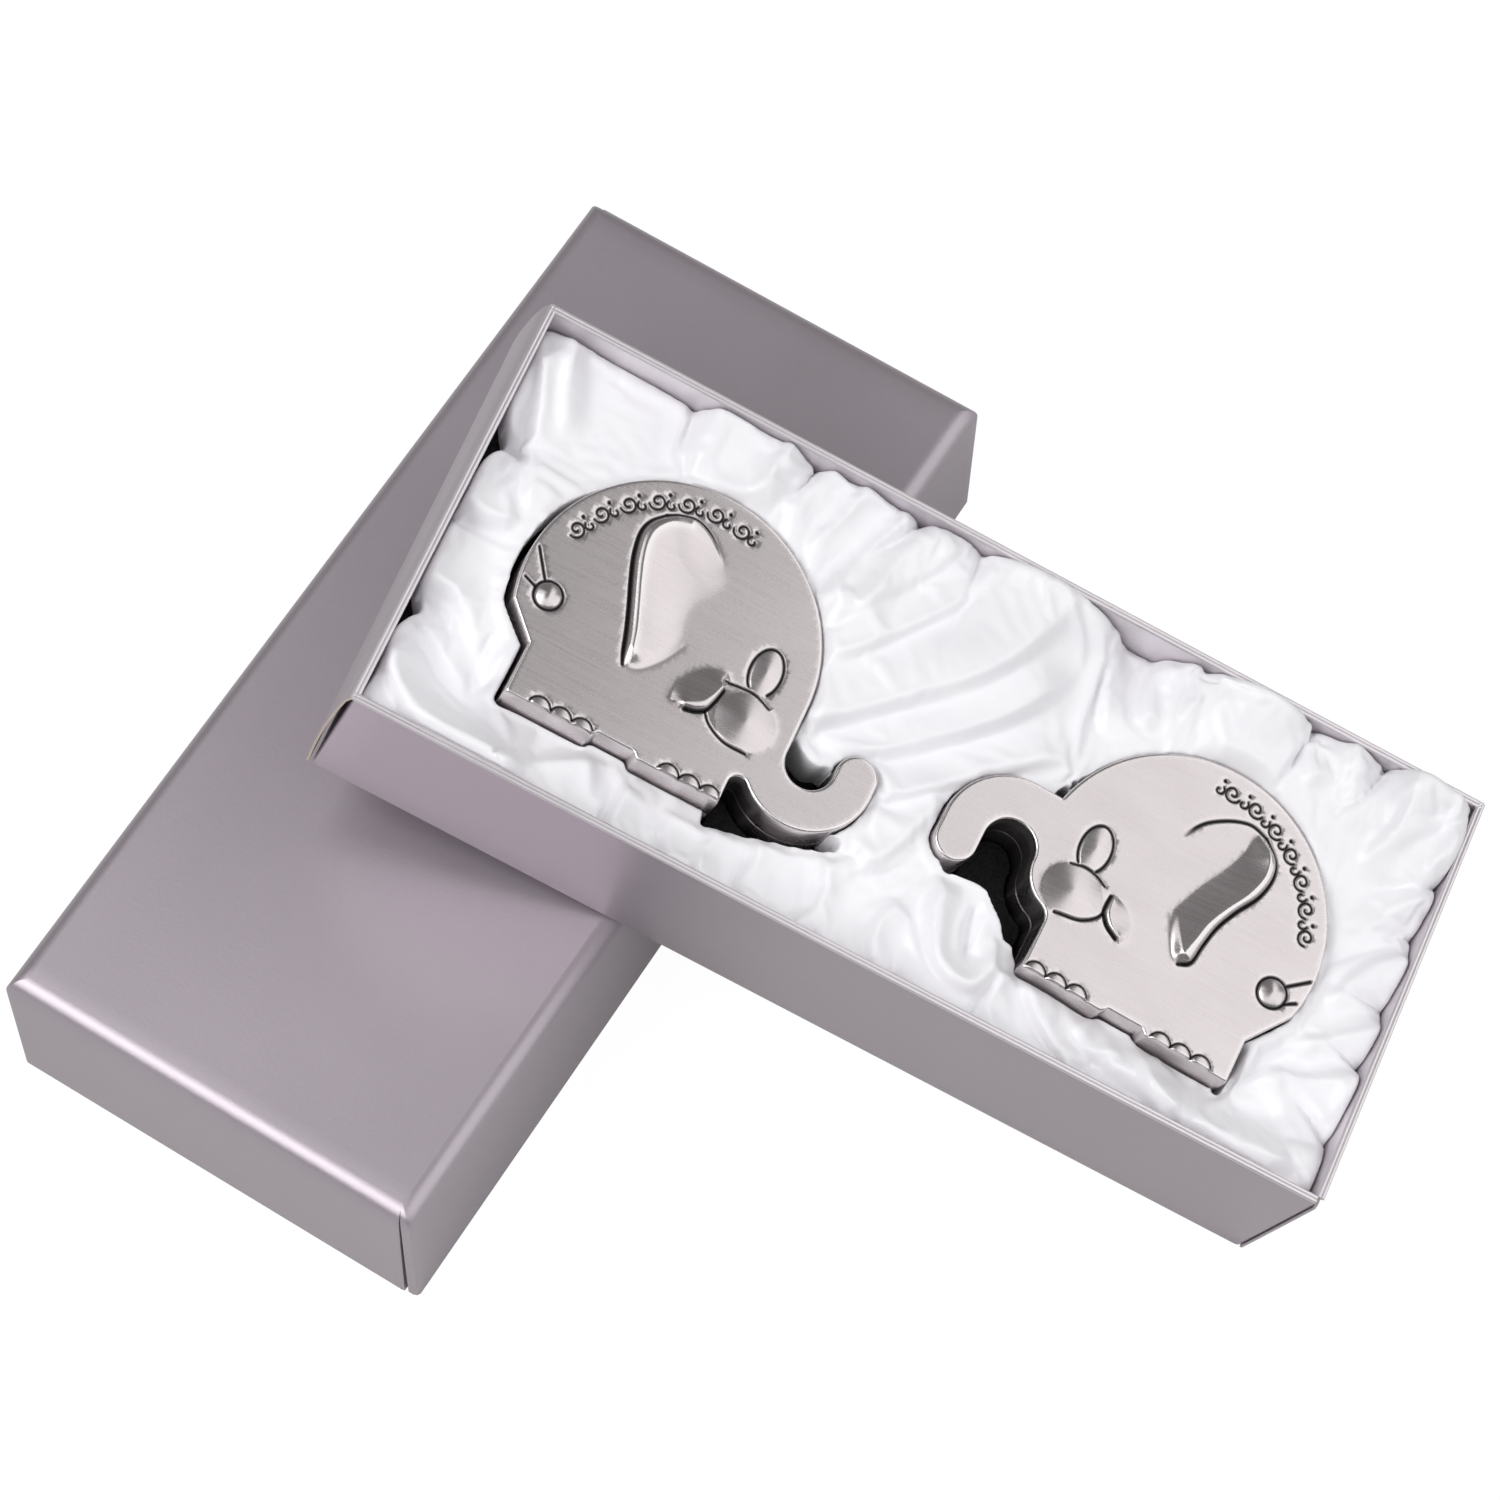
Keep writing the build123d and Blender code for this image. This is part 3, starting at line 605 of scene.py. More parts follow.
curl_relief = {
    "ear_rear": [(-3.8, -9.2), (-5.6, -8.0), (-6.2, -4.3), (-7.1, -0.3), (-8.9, 3.8),
                 (-11.2, 7.9), (-12.1, 11.9), (-11.4, 15.0), (-8.6, 18.0)],
    "ear_top": [(-8.6, 18.0), (-7.6, 18.4), (-6.8, 18.6)],
    "ear_arc": [(-8.6, 18.0), (-5.4, 18.8), (-2.4, 18.0), (0.6, 16.2), (2.6, 14.3), (4.4, 11.3)],
    "ear_fold": [(-6.8, 18.6), (-6.3, 15.2), (-4.6, 10.5), (-2.0, 5.5), (0.0, 0.8), (1.2, -2.3)],
    "ear_low": [(1.2, -2.3), (-0.6, -6), (-2.2, -8.6), (-3.8, -9.2)],
    "ear_crest": [(-8.4, 16.9), (-9.6, 15.4), (-10.4, 13), (-10.4, 10.5), (-9.2, 6.8), (-7.0, 2.8),
                  (-5.3, -1.0), (-4.5, -4.5), (-3.7, -7.6)],
    "ear_top_fade": (3.0, 5.0), "ear_bend": 1.1, "ear_tip": 1.9, "ear_ease": 4.5,
    "bulge_high": 0.8,
    "bulge_side": [(6.3, -11.4), (5.6, -9.5), (6.2, -6.8), (8.2, -4.9), (10.8, -4.0)],
    "bulge_crest": [(10.4, -5.2), (10.1, -7.2), (9.2, -8.8), (7.2, -10.4)],
    "eye": (16.65, 1.2), "cheek": (17.1, -7.4, 5.5, 5.0),
    "crease": [(11.0, -4.6), (11.1, -6.5), (10.9, -7.9), (9.6, -9.6), (7.3, -10.9)],
    "jaw": [(10.9, -7.9), (11.6, -9.2), (13.0, -10.5), (14.8, -11.4), (18.4, -12.0)],
    "brow": [(12.6, -3.7), (14.6, -2.8), (17.0, -2.5), (19.4, -3.1)],
    "tail": (-20.1, -5.4, 2.5),
    "stalk": [[(-21.9, -3.1), (-25.2, -0.3)], [(-22.8, -6.0), (-24.5, -4.9)]],
    "nails": [(x, -curl_foot) for x in (-14.3, -10.5, -6.7, 9.2, 13.0, 16.9)],
    "strokes": curl_strokes, "outline": curl_outline,
}


# %% [markdown]
# The relief could be sculpted, cut with Booleans, or drawn as bump only. Here it is one height over
# the face: every bead, groove and bulge adds its own small profile, so that edges stay soft, as on
# a casting, and the same function serves both lids.
# %% Relief as a height over the face
ear_high, eye_wide, eye_tall, nail_size = 1.6, 2.7, 4.3, 1.9


def engrave(state, gap, width, depth, share=1.0, smear=1.35):
    """Cuts a groove where the gap to a line is small, and leaves patina in it."""
    state["height"] -= depth * share * np.exp(-(gap / width) ** 2)
    state["patina"] = np.maximum(state["patina"], share * np.exp(-(gap / (smear * width)) ** 4))
    lip = np.exp(-((gap - 2.3 * width) / (0.8 * width)) ** 2)
    state["polish"] = np.maximum(state["polish"], 0.45 * share * lip)


def ramp(points, low, crest, foot, high, bend=1.0):
    """A fold that climbs evenly from one line to a crest and drops, rounded, to its foot."""
    low, crest, foot = flow(low), flow(crest), flow(foot)
    if np.hypot(*(crest[-1] - foot[0])) < np.hypot(*(crest[-1] - foot[-1])):
        foot = foot[::-1]
    to_low, to_crest, to_foot = (away_from(points, line) for line in (low, crest, foot))
    climbing = (to_low / np.maximum(to_low + to_crest, 1e-6)) ** bend
    falling = to_foot / np.maximum(to_foot + to_crest, 1e-6)
    beyond = inside(points, np.vstack([crest, foot[::-1]]))
    return high * np.where(beyond, np.sqrt(1 - (1 - falling) ** 2), climbing)


def carve_ear(points, table, state):
    """The ear: a ramp from its fold line to a crest beside the rear edge."""
    rear, top = flow(table["ear_rear"]), flow(table["ear_top"])
    fold, low = flow(table["ear_fold"]), flow(table["ear_low"])
    within = inside(points, np.vstack([rear, top, fold, low]))
    rise = ramp(points, table["ear_fold"], table["ear_crest"], table["ear_rear"], ear_high,
                table["ear_bend"])
    rise *= smoothstep(away_from(points, top), 0, table["ear_ease"]) ** 0.5
    rise *= smoothstep(away_from(points, low), 0, table["ear_tip"])
    state["height"] += np.where(within, rise, 0)
    fade = 1 - smoothstep(points[:, 0], *table["ear_top_fade"])
    outer_top = flow(table.get("ear_arc", table["ear_top"]))
    engrave(state, away_from(points, rear), 0.27, 0.3)
    engrave(state, away_from(points, outer_top), 0.25, 0.28, share=fade)
    engrave(state, away_from(points, low), 0.18, 0.1, share=0.3)
    crest = np.where(within, np.exp(-(away_from(points, flow(table["ear_crest"])) / 0.9) ** 2), 0)
    state["polish"] = np.maximum(state["polish"], crest)


def carve_face(points, table, state):
    """Eye, cheek, the bulge behind the crease, and their lines."""
    x, y = points.T
    ex, ey = table["eye"]
    cx, cy, rx, ry = table["cheek"]
    eye_out = ((x - ex) / eye_wide) ** 2 + ((y - ey) / eye_tall) ** 2
    cheek_out = ((x - cx) / rx) ** 2 + ((y - cy) / ry) ** 2
    brow_level = cy + ry * 0.93
    eye_rise = 0.55 * (1 - np.clip(eye_out, 0, 1) ** 0.7) * (y > brow_level - 0.2)
    cheek_rise = 1.15 * (1 - np.clip(cheek_out, 0, 1) ** 0.72)
    side, crest, crease = table["bulge_side"], table["bulge_crest"], table["crease"]
    around = np.vstack([flow(side), flow(crease)])
    bulge = ramp(points, side, crest, crease, table["bulge_high"]) * inside(points, around)
    state["height"] += np.maximum(np.maximum(eye_rise, cheek_rise), bulge)
    turn = np.radians(np.linspace(-52, 232, 70))
    ring = np.column_stack([ex + (eye_wide + 0.05) * np.cos(turn),
                            ey + (eye_tall + 0.05) * np.sin(turn)])
    engrave(state, away_from(points, ring), 0.22, 0.28)
    for name, width in (("crease", 0.24), ("jaw", 0.22), ("brow", 0.2)):
        engrave(state, away_from(points, flow(table[name])), width, 0.3)


def carve_small(points, table, state):
    """Tail, toenails and the scroll ornament."""
    x, y = points.T
    tx, ty, size = table["tail"]
    out = np.hypot(x - tx, y - ty)
    state["height"] += 0.9 * (1 - np.clip(out / size, 0, 1) ** 1.6)
    engrave(state, np.abs(out - size - 0.12), 0.22, 0.28)
    for line in table["stalk"]:
        engrave(state, away_from(points, flow(line)), 0.24, 0.3)
    for nx, ny in table["nails"]:
        out = np.hypot(x - nx, y - ny)
        state["height"] += 0.42 * np.sqrt(np.clip(1 - (out / nail_size) ** 2, 0, 1))
        engrave(state, np.abs(out - nail_size - 0.05), 0.17, 0.24)
    engrave(state, away_from_runs(points, *table["strokes"]), 0.2, 0.26, smear=1.3)


def relief(points, table):
    """Height, patina and rub at points of a lid's face."""
    state = {key: np.zeros(len(points)) for key in ("height", "patina", "polish")}
    for carve in (carve_ear, carve_face, carve_small):
        carve(points, table, state)
    return state


# %% [markdown]
# The lid's face is triangulated from its outline, a few rows that follow the rounded edge, and a
# point grid that is fine near the relief and coarse on the plain face. The outline's own points are
# shared with the wall below, so the castings are closed like the real ones.
# %% Points of a lid's face
edge_round, fine_step = 0.5, 0.21
bevel_in, bevel_up = 0.18, 0.2         # the worn edge on both sides of the seam


def inward(outline, amount):
    """An outline's points, moved inwards along their normals."""
    ahead, behind = np.roll(outline, -1, axis=0), np.roll(outline, 1, axis=0)
    along = ahead - behind
    along /= np.maximum(np.hypot(*along.T), 1e-9)[:, None]
    return outline + amount * np.column_stack([-along[:, 1], along[:, 0]])


def face_points(table):
    """Points on a lid's face, rows by the edge and a grid, with the relief at each."""
    outline = table["outline"]
    rows = []
    for share in (0.06, 0.2, 0.45, 0.8, 1.15):
        row = inward(outline, share * edge_round)
        rows.append(row[away_from(row, outline, True) > 0.93 * share * edge_round])
    low, high = outline.min(axis=0), outline.max(axis=0)
    columns = np.arange(low[0], high[0], fine_step)
    lines = np.arange(low[1], high[1], fine_step * 0.87)
    grid_x, grid_y = np.meshgrid(columns, lines)
    grid_x = grid_x + fine_step / 2 * (np.arange(len(lines)) % 2)[:, None]
    grid = np.column_stack([grid_x.ravel(), grid_y.ravel()])
    sparse = ((np.arange(len(columns)) % 4 == 0)[None, :]
              & (np.arange(len(lines)) % 4 == 0)[:, None]).ravel()
    keep = inside(grid, outline)
    grid, sparse = grid[keep], sparse[keep]
    clear = away_from(grid, outline, True) > 1.3 * edge_round
    grid, sparse = grid[clear], sparse[clear]
    points = np.vstack(rows + [grid])
    state = relief(points, table)
    busy = (np.abs(state["height"]) > 0.001) | (state["patina"] > 0.01)
    busy[:len(points) - len(grid)] = True
    keep = busy | np.concatenate([busy[:len(points) - len(grid)], sparse])
    return points[keep], {key: numbers[keep] for key, numbers in state.items()}


def edge_drop(gap):
    """How far the rounded edge lies under the face at a distance from the outline."""
    share = np.clip(1 - gap / edge_round, 0, 1)
    return edge_round * (1 - np.sqrt(1 - share ** 2))


# %% [markdown]
# A cast box is one outline carried up its height: foot, wall, rim, then down into the hollow. Rows
# of points joined by strips keep the wall's thickness exact and the seam closed, which a solidify
# modifier would not do where the trunk curls tightly.
# %% Box walls, lip and hollow
def hollow(foot, inset, count=220):
    """The arch-shaped hollow's outline, drawn in by an inset."""
    turn = np.linspace(0, 2 * np.pi, count, endpoint=False)
    across, up = np.cos(turn), np.sin(turn)
    right, left, bottom = leg_front - inset, leg_rear - inset, foot - 1 - inset
    reach = np.full(count, body_radius - inset)
    reach = np.minimum(reach, np.where(across > 0, right, left) / np.maximum(abs(across), 1e-6))
    reach = np.where(up < 0, np.minimum(reach, bottom / np.maximum(-up, 1e-6)), reach)
    return np.column_stack([reach * across, reach * up])


class Shell:
    """A closed mesh that grows by rows, strips and caps, all sharing their points."""

    def __init__(self):
        self.points, self.faces = [], []

    def row(self, flat, height):
        """Adds a closed row at a height; gives back its point numbers."""
        first = len(self.points)
        height = np.broadcast_to(height, len(flat))
        self.points += [(p[0], p[1], z) for p, z in zip(flat, height)]
        return list(range(first, len(self.points)))

    def strip(self, low, high):
        """Faces between two rows; they face outwards when high lies above low."""
        for i in range(len(low)):
            j = (i + 1) % len(low)
            self.faces.append((low[i], low[j], high[j], high[i]))

    def stack(self, rows, inwards=False):
        """Strips between each row and the one above it."""
        for low, high in zip(rows[:-1], rows[1:]):
            self.strip(*((high, low) if inwards else (low, high)))

    def cap(self, rows, height, up, extra=(), tops=None):
        """Fills between rows, the first one outermost."""
        flat = [np.array([self.points[i][:2] for i in row]) for row in rows]
        points, faces, origin = fill(flat, extra)
        known = [i for row in rows for i in row]
        number, added = [], []
        for k, point in enumerate(points):
            if 0 <= origin[k] < len(known):
                number.append(known[origin[k]])
            else:
                number.append(len(self.points))
                added.append((number[-1], origin[k] - len(known)))
                z = height if tops is None else tops[added[-1][1]]
                self.points.append((point[0], point[1], z))
        for a, b, c in faces:
            face = (number[a], number[b], number[c])
            self.faces.append(face if up else face[::-1])
        return added


def hemmed_in_shade(outline):
    """Painted shade on a wall, by how much it faces another part of its own outline, as inside the
    curled trunk.
    """
    ahead = inward(outline, -7.0)
    return 0.9 * (1 - smoothstep(away_from(ahead, outline, True), 3.0, 6.6))


def new_casting(name, shell, place, patina_and_shade, rubbed):
    """A piece of pewter in a box's own frame, with its patina and painted shade, and its rub."""
    return new_piece(name, shell.points, shell.faces, [pewter], in_tray @ place,
                     smooth=40, values={"patina": patina_and_shade, "polish": rubbed})


def cast_lid(name, table, foot, place):
    """A box lid: relief, rounded edge, wall, and the lip under it."""
    outline, shell = table["outline"], Shell()
    extra, carved = face_points(table)
    gap = away_from(extra, outline, True)
    tops = face_height - edge_drop(gap) + carved["height"] * smoothstep(gap, 0.0, 0.5)
    rim = shell.row(outline, face_height - edge_round)
    added = shell.cap([rim], 0, True, extra, tops)
    seam = shell.row(inward(outline, bevel_in), lid_bottom)
    low = shell.row(outline, lid_bottom + bevel_up)
    middle = shell.row(outline, (lid_bottom + face_height) / 2)
    shell.stack([seam, low, middle, rim])
    lip_out = hollow(foot, box_wall + lip_play)
    lip_in = hollow(foot, box_wall + lip_play + lip_wall)
    lip_bottom, ceiling = lid_bottom - lip_depth, face_height - lid_skin
    lip_top, lip_low = shell.row(lip_out, lid_bottom), shell.row(lip_out, lip_bottom)
    shell.cap([seam, lip_top], lid_bottom, False)
    shell.strip(lip_low, lip_top)
    in_low, in_top = shell.row(lip_in, lip_bottom), shell.row(lip_in, ceiling)
    shell.cap([lip_low, in_low], lip_bottom, False)
    shell.strip(in_top, in_low)
    shell.cap([in_top], ceiling, False)
    patina_and_shade, rubbed = np.zeros((2, len(shell.points)))
    rubbed[rim] = 1
    for number, k in added:
        patina_and_shade[number] = carved["patina"][k] * smoothstep(gap[k], 0.1, 0.5)
        rubbed[number] = max(carved["polish"][k], 1 - smoothstep(gap[k], 0.2, 0.9))
    # Walls that face another part of the outline, as inside the curled trunk, get painted shade;
    # the rim gets half of it, and the seam is a dark joint.
    for row in (low, middle, lip_top):
        patina_and_shade[row] = hemmed_in_shade(outline)[:len(row)] * (row is not lip_top)
    patina_and_shade[rim] = 0.5 * hemmed_in_shade(outline)
    patina_and_shade[seam] = 0.9
    return new_casting(name, shell, place, patina_and_shade, rubbed)


def cast_base(name, table, foot, place):
    """A box base: an open tray of cast metal with the outline of its lid."""
    outline, shell = table["outline"], Shell()
    top, bottom = lid_bottom - seam_gap, box_bottom + box_floor
    levels = ((0.3, box_bottom), (0, box_bottom + 0.4), (0, 20.5), (0, top - bevel_up),
              (bevel_in, top))
    rows = [shell.row(inward(outline, inset), z) for inset, z in levels]
    shell.stack(rows)
    shell.cap([rows[0]], box_bottom, False)
    inner = hollow(foot, box_wall)
    mouth, floor_row = shell.row(inner, top), shell.row(inner, bottom)
    shell.cap([rows[-1], mouth], top, True)
    shell.strip(mouth, floor_row)
    shell.cap([floor_row], bottom, True)
    patina_and_shade, rubbed = np.zeros((2, len(shell.points)))
    # Walls that face another part of the outline get painted shade; the top edge by the seam is a
    # dark joint, and the bottom edge is darker.
    for row in rows[1:-1]:
        patina_and_shade[row] = hemmed_in_shade(outline)
    patina_and_shade[rows[-1]] = 0.9
    patina_and_shade[rows[0]] = 0.4
    return new_casting(name, shell, place, patina_and_shade, rubbed)


# %% [markdown]
# Each box is a base and a lid on its own body, made by the same two functions from that box's
# outline and relief table.
# %% Cast boxes
boxes = (("tooth", tooth_relief, tooth_foot, tooth_in_tray),
         ("curl", curl_relief, curl_foot, curl_in_tray))
cast = {}
for kind, table, foot, place in boxes:
    cast[f"{kind}_lid"] = cast_lid(f"{kind}_lid_casting", table, foot, place)
    cast[f"{kind}_base"] = cast_base(f"{kind}_base_casting", table, foot, place)
for name, piece in cast.items():
    print(name, len(piece.data.polygons), "faces")
for kind in ("tooth", "curl"):
    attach(cast[f"{kind}_lid"], f"{kind}_box_lid")
    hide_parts(f"{kind}_box_lid")
    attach(cast[f"{kind}_base"], f"{kind}_box")
    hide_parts(f"{kind}_box_base")

# %% [markdown]
# The gift lid is one piece of silver board: a top panel whose edges roll over into four walls.
# Each long wall ends in a flap that wraps two millimetres round the corner, and the short wall is
# folded down over it. That leaves a thin dark slit beside two corners; the other two fit tightly.
# The mesh is a grid for the top, rows of the same points down the walls, and a second skin inside.
# %% Gift lid
seen_fold = 3.2                        # the varnish rounds the board's fold a little more
lid_rows, tight_slit = 61, 0.05


def lid_columns(half, inset, sink, open_slit):
    """Points along a short side, as distance from the middle and how deep each one lies."""
    slit = [(0.0, 1.1), (0.35, 0.5), (1.0, 0.28), (1.9, 0.26), (1.97, 1.1),
            (2.03 + open_slit, 1.1), (2.1 + open_slit, 0.12), (2.5 + open_slit, 0.0)]
    tight = [(0.0, 0.45), (0.1, 0.2), (0.22, 0.07), (0.45, 0.0), (1.0, 0.0), (1.5, 0.0),
             (2.0, 0.0), (2.6, 0.0)]
    shrink = 1 - 0.9 * inset / seen_fold
    right = [(half - inset - t * shrink, deep * sink) for t, deep in slit]
    left = [(-(half - inset - t * shrink), deep * sink) for t, deep in tight]
    middle = np.linspace(-(half - 4.5), half - 4.5, 23)
    return left + [(x, 0.0) for x in middle] + right[::-1]


def lid_ring(inset, sink=0.0, open_slit=tight_slit):
    """The lid's perimeter, drawn in by an inset, as columns by rows of the top grid."""
    half_x, half_y = lid_width / 2, lid_length / 2
    columns = lid_columns(half_x, inset, sink, open_slit)
    rows = np.linspace(-(half_y - inset), half_y - inset, lid_rows)
    ring = [(x, rows[0] + deep) for x, deep in columns]
    ring += [(half_x - inset, y) for y in rows[1:-1]]
    ring += [(-x, rows[-1] - deep) for x, deep in columns]
    return ring + [(-(half_x - inset), y) for y in rows[1:-1][::-1]]


def sagging(points):
    """Board is never quite flat: the top dips a little and the walls breathe."""
    p = np.array(points, float)
    half_x, half_y = lid_width / 2, lid_length / 2
    across_x, along_y = p[:, 0] / half_x, p[:, 1] / half_y
    on_top = smoothstep(p[:, 2], lid_height - 6, lid_height - 0.5)
    dip = 0.35 * np.clip(1 - across_x ** 2, 0, 1) * np.clip(1 - along_y ** 2, 0, 1)
    p[:, 2] -= on_top * dip
    mid = np.sin(np.pi * np.clip(p[:, 2] / edge_up, 0, 1)) * (p[:, 2] < edge_up)
    p[:, 1] += 0.22 * mid * np.sign(p[:, 1]) * (abs(p[:, 1]) > half_y - 2) * (1 - across_x ** 2)
    p[:, 0] -= 0.3 * mid * np.sign(p[:, 0]) * (abs(p[:, 0]) > half_x - 1.5) * (1 - along_y ** 2)
    return p


def panel(shell, ring, height, columns, flip):
    """Fills a ring of the lid with a grid whose border is the ring itself."""
    wide, deep = len(columns), lid_rows
    number = np.zeros((deep, wide), int)
    number[0], number[-1] = ring[:wide], ring[wide + deep - 2:2 * wide + deep - 2][::-1]
    number[1:-1, -1] = ring[wide:wide + deep - 2]
    number[1:-1, 0] = ring[2 * wide + deep - 2:][::-1]
    for j in range(1, deep - 1):
        y = shell.points[number[j, 0]][1]
        number[j, 1:-1] = shell.row([(x, y) for x, _ in columns[1:-1]], height)
    shell.faces += [face[::-1] if flip else face for face in squares(number)]


def make_gift_lid():
    """Outer skin, cut lower edge and inner skin of the lid."""
    shell, rows, fold_start = Shell(), [], lid_height - seen_fold
    for height in (0.0, 4, 10, 16, 22, 27, fold_start):
        slit = 0.42 * (1 - height / fold_start) ** 0.8 + tight_slit
        rows.append(shell.row(lid_ring(0.0, 1.0, slit), height))
    for turn in np.radians([12, 25, 38, 51, 64, 77, 90]):
        sink = max(0.0, 1 - 1.4 * turn / (math.pi / 2))
        rows.append(shell.row(lid_ring(seen_fold * (1 - math.cos(turn)), sink),
                              fold_start + seen_fold * math.sin(turn)))
    shell.stack(rows)
    columns = lid_columns(lid_width / 2, seen_fold, 0, tight_slit)
    panel(shell, rows[-1], lid_height, columns, False)
    ceiling = lid_height - card_floor
    inner = [shell.row(lid_ring(card_wall), z) for z in (0.0, 16.0, ceiling)]
    outside = len(shell.faces)
    shell.strip(inner[0], rows[0])
    cut_edge = len(shell.faces) - outside
    shell.stack(inner, inwards=True)
    columns = lid_columns(lid_width / 2, card_wall, 0, tight_slit)
    panel(shell, inner[-1], ceiling, columns, True)
    cut = [0] * outside + [1] * cut_edge + [0] * (len(shell.faces) - outside - cut_edge)
    return new_piece("gift_lid_card", sagging(shell.points), shell.faces,
                     [silver_card, raw_card], in_lid, smooth=38, finish_index=cut)


lid_card = make_gift_lid()
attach(lid_card, "gift_lid")
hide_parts("gift_lid")
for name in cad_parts:
    if name.startswith("lid_corner_tab"):
        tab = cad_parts[name].data
        tab.materials.clear()
        tab.materials.append(silver_card)
print("gift lid", len(lid_card.data.polygons), "faces")

# %% [markdown]
# A loose ply of card is a grid with a thickness, and its cut edge shows the tan core. One helper
# makes every such ply: the outer flaps at the tray's two ends, of which the left one has sprung
# outwards and leaves a black slot beside the near wall.
# %% Plies of card
def ply(name, grid, thickness, place, raw):
    """A closed thin piece from a grid of outer points; its border can be raw board."""
    grid = np.asarray(grid, float)
    tall, wide, _ = grid.shape
    along = np.gradient(grid, axis=1)
    up = np.gradient(grid, axis=0)
    normal = np.cross(along, up)
    normal /= np.linalg.norm(normal, axis=2, keepdims=True)
    points = np.vstack([grid.reshape(-1, 3), (grid - thickness * normal).reshape(-1, 3)])
    number, faces = np.arange(tall * wide).reshape(tall, wide), []
    for front, back in zip(squares(number), squares(number + tall * wide)):
        faces += [front, (back[0], *back[:0:-1])]
    cut = [0] * len(faces)
    border = [*number[0], *number[1:, -1], *number[-1, -2::-1], *number[-2:0:-1, 0]]
    for a, b in zip(border, border[1:] + border[:1]):
        faces.append((b, a, a + tall * wide, b + tall * wide))
        cut.append(raw)
    return new_piece(name, points, faces, [silver_card, raw_card], place, 40, cut)


def end_flap(name, side, near_bow, far_bow, raw=1):
    """An end wall's outer ply, bowed between the floor and the rim."""
    share = np.linspace(0, 1, 15)[:, None]
    along = np.linspace(-1, 1, 25)[None, :]
    bow = (near_bow + (far_bow - near_bow) * (along + 1) / 2) * 4 * share * (1 - share)
    x = side * (tray_length / 2 + bow - 0.5 * smoothstep(share, 0.93, 1.0))
    y = side * along * tray_width / 2 * np.ones_like(share)
    z = 0.5 + share * (tray_height - 1.1) * np.ones_like(along)
    grid = np.dstack([x, y, z])
    if side < 0:
        grid = grid[:, ::-1]
    return ply(name, grid, 0.45, in_tray, raw)


left_flap = end_flap("left_end_flap", -1, 1.5, 0.7)
right_flap = end_flap("right_end_flap", 1, 0.04, 0.04, raw=0)
for flap, node in ((left_flap, "tray_left_flap"), (right_flap, "tray_right_flap")):
    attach(flap, "gift_tray")
    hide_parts(node)

# %% [markdown]
# The tray's walls are board folded double over the rim, so the rim shows two rounded folds side by
# side. That profile follows four straight paths, one to a wall, which is a job for Geometry Nodes:
# a curve for each path, a small circle for each fold, and Curve to Mesh between them.
# %% Tray walls and floor
tray_round, tray_edge, wall_end = 0.75, 0.7, 0.75
rim_drop, rim_aside, fold_radius, fold_spacing = 0.7, 0.15, 0.42, 0.62


def rectangle(half_x, half_y, round_by):
    """A closed rectangle with small rounded corners, counter-clockwise."""
    parts, longest = [], 6
    for k, (sx, sy) in enumerate(((1, -1), (1, 1), (-1, 1), (-1, -1))):
        middle = (sx * (half_x - round_by), sy * (half_y - round_by))
        parts.append(arc(middle, round_by, 90 * k - 90, 90 * k, 4))
    line, out = np.vstack(parts), []
    for a, b in zip(line, np.roll(line, -1, axis=0)):
        steps = max(1, int(np.hypot(*(b - a)) / longest))
        out.append(a + (b - a) * np.arange(steps)[:, None] / steps)
    return np.vstack(out)


def make_tray_body():
    """Floor and walls, up to where the rims begin."""
    shell = Shell()
    half_x, half_y, top = tray_length / 2 - card_ply, tray_width / 2, tray_height - wall_end
    rows = []
    for turn in np.radians([0, 30, 60, 90]):
        inset = tray_edge * (1 - math.sin(turn))
        rows.append(shell.row(rectangle(half_x - inset, half_y - inset, tray_round),
                              tray_edge * (1 - math.cos(turn))))
    for z in (12, 24, top):
        rows.append(shell.row(rectangle(half_x, half_y, tray_round), z))
    shell.stack(rows)
    shell.cap([rows[0]], 0, False)
    inner = rectangle(tray_length / 2 - card_wall, half_y - card_wall, 0.3)
    mouth, bottom = shell.row(inner, top), shell.row(inner, card_floor)
    outside = len(shell.faces)
    shell.cap([rows[-1], mouth], top, True)
    under_rim = len(shell.faces)
    shell.strip(mouth, bottom)
    shell.cap([bottom], card_floor, True)
    # The inside faces take the copy of the card that is painted lighter.
    finish = [0] * outside + [2] * (under_rim - outside) + [1] * (len(shell.faces) - under_rim)
    return new_piece("tray_body", shell.points, shell.faces, [silver_card, inner_card_painted_lighter, raw_card],
                     in_tray, 35, finish)


def rim_tree():
    """Sweeps a rim's profile along every path it is given."""
    given = new_tree("rolled_rim", Paths="Geometry", Fold_Radius="Float", Spacing="Float")
    paths = given["Paths"]
    curves = paths.node("GeometryNodeMeshToCurve", {}, {0: paths})
    level = paths.node("GeometryNodeSetCurveNormal", {"mode": "Z_UP"}, {0: curves})
    both = paths.node("GeometryNodeJoinGeometry")
    for half in (-0.5, 0.5):
        circle = paths.node("GeometryNodeCurvePrimitiveCircle", {},
                            {"Resolution": 14, "Radius": given["Fold Radius"]})
        aside = paths.node("ShaderNodeCombineXYZ", {}, {"X": given["Spacing"] * half})
        moved = paths.node("GeometryNodeTransform", {}, {"Geometry": circle, "Translation": aside})
        sweep = paths.node("GeometryNodeCurveToMesh", {},
                           {"Fill Caps": True, "Curve": level, "Profile Curve": moved})
        paths.tree.links.new(sweep.socket, both.socket.node.inputs[0])
    return end_tree(both, given["Finish"])


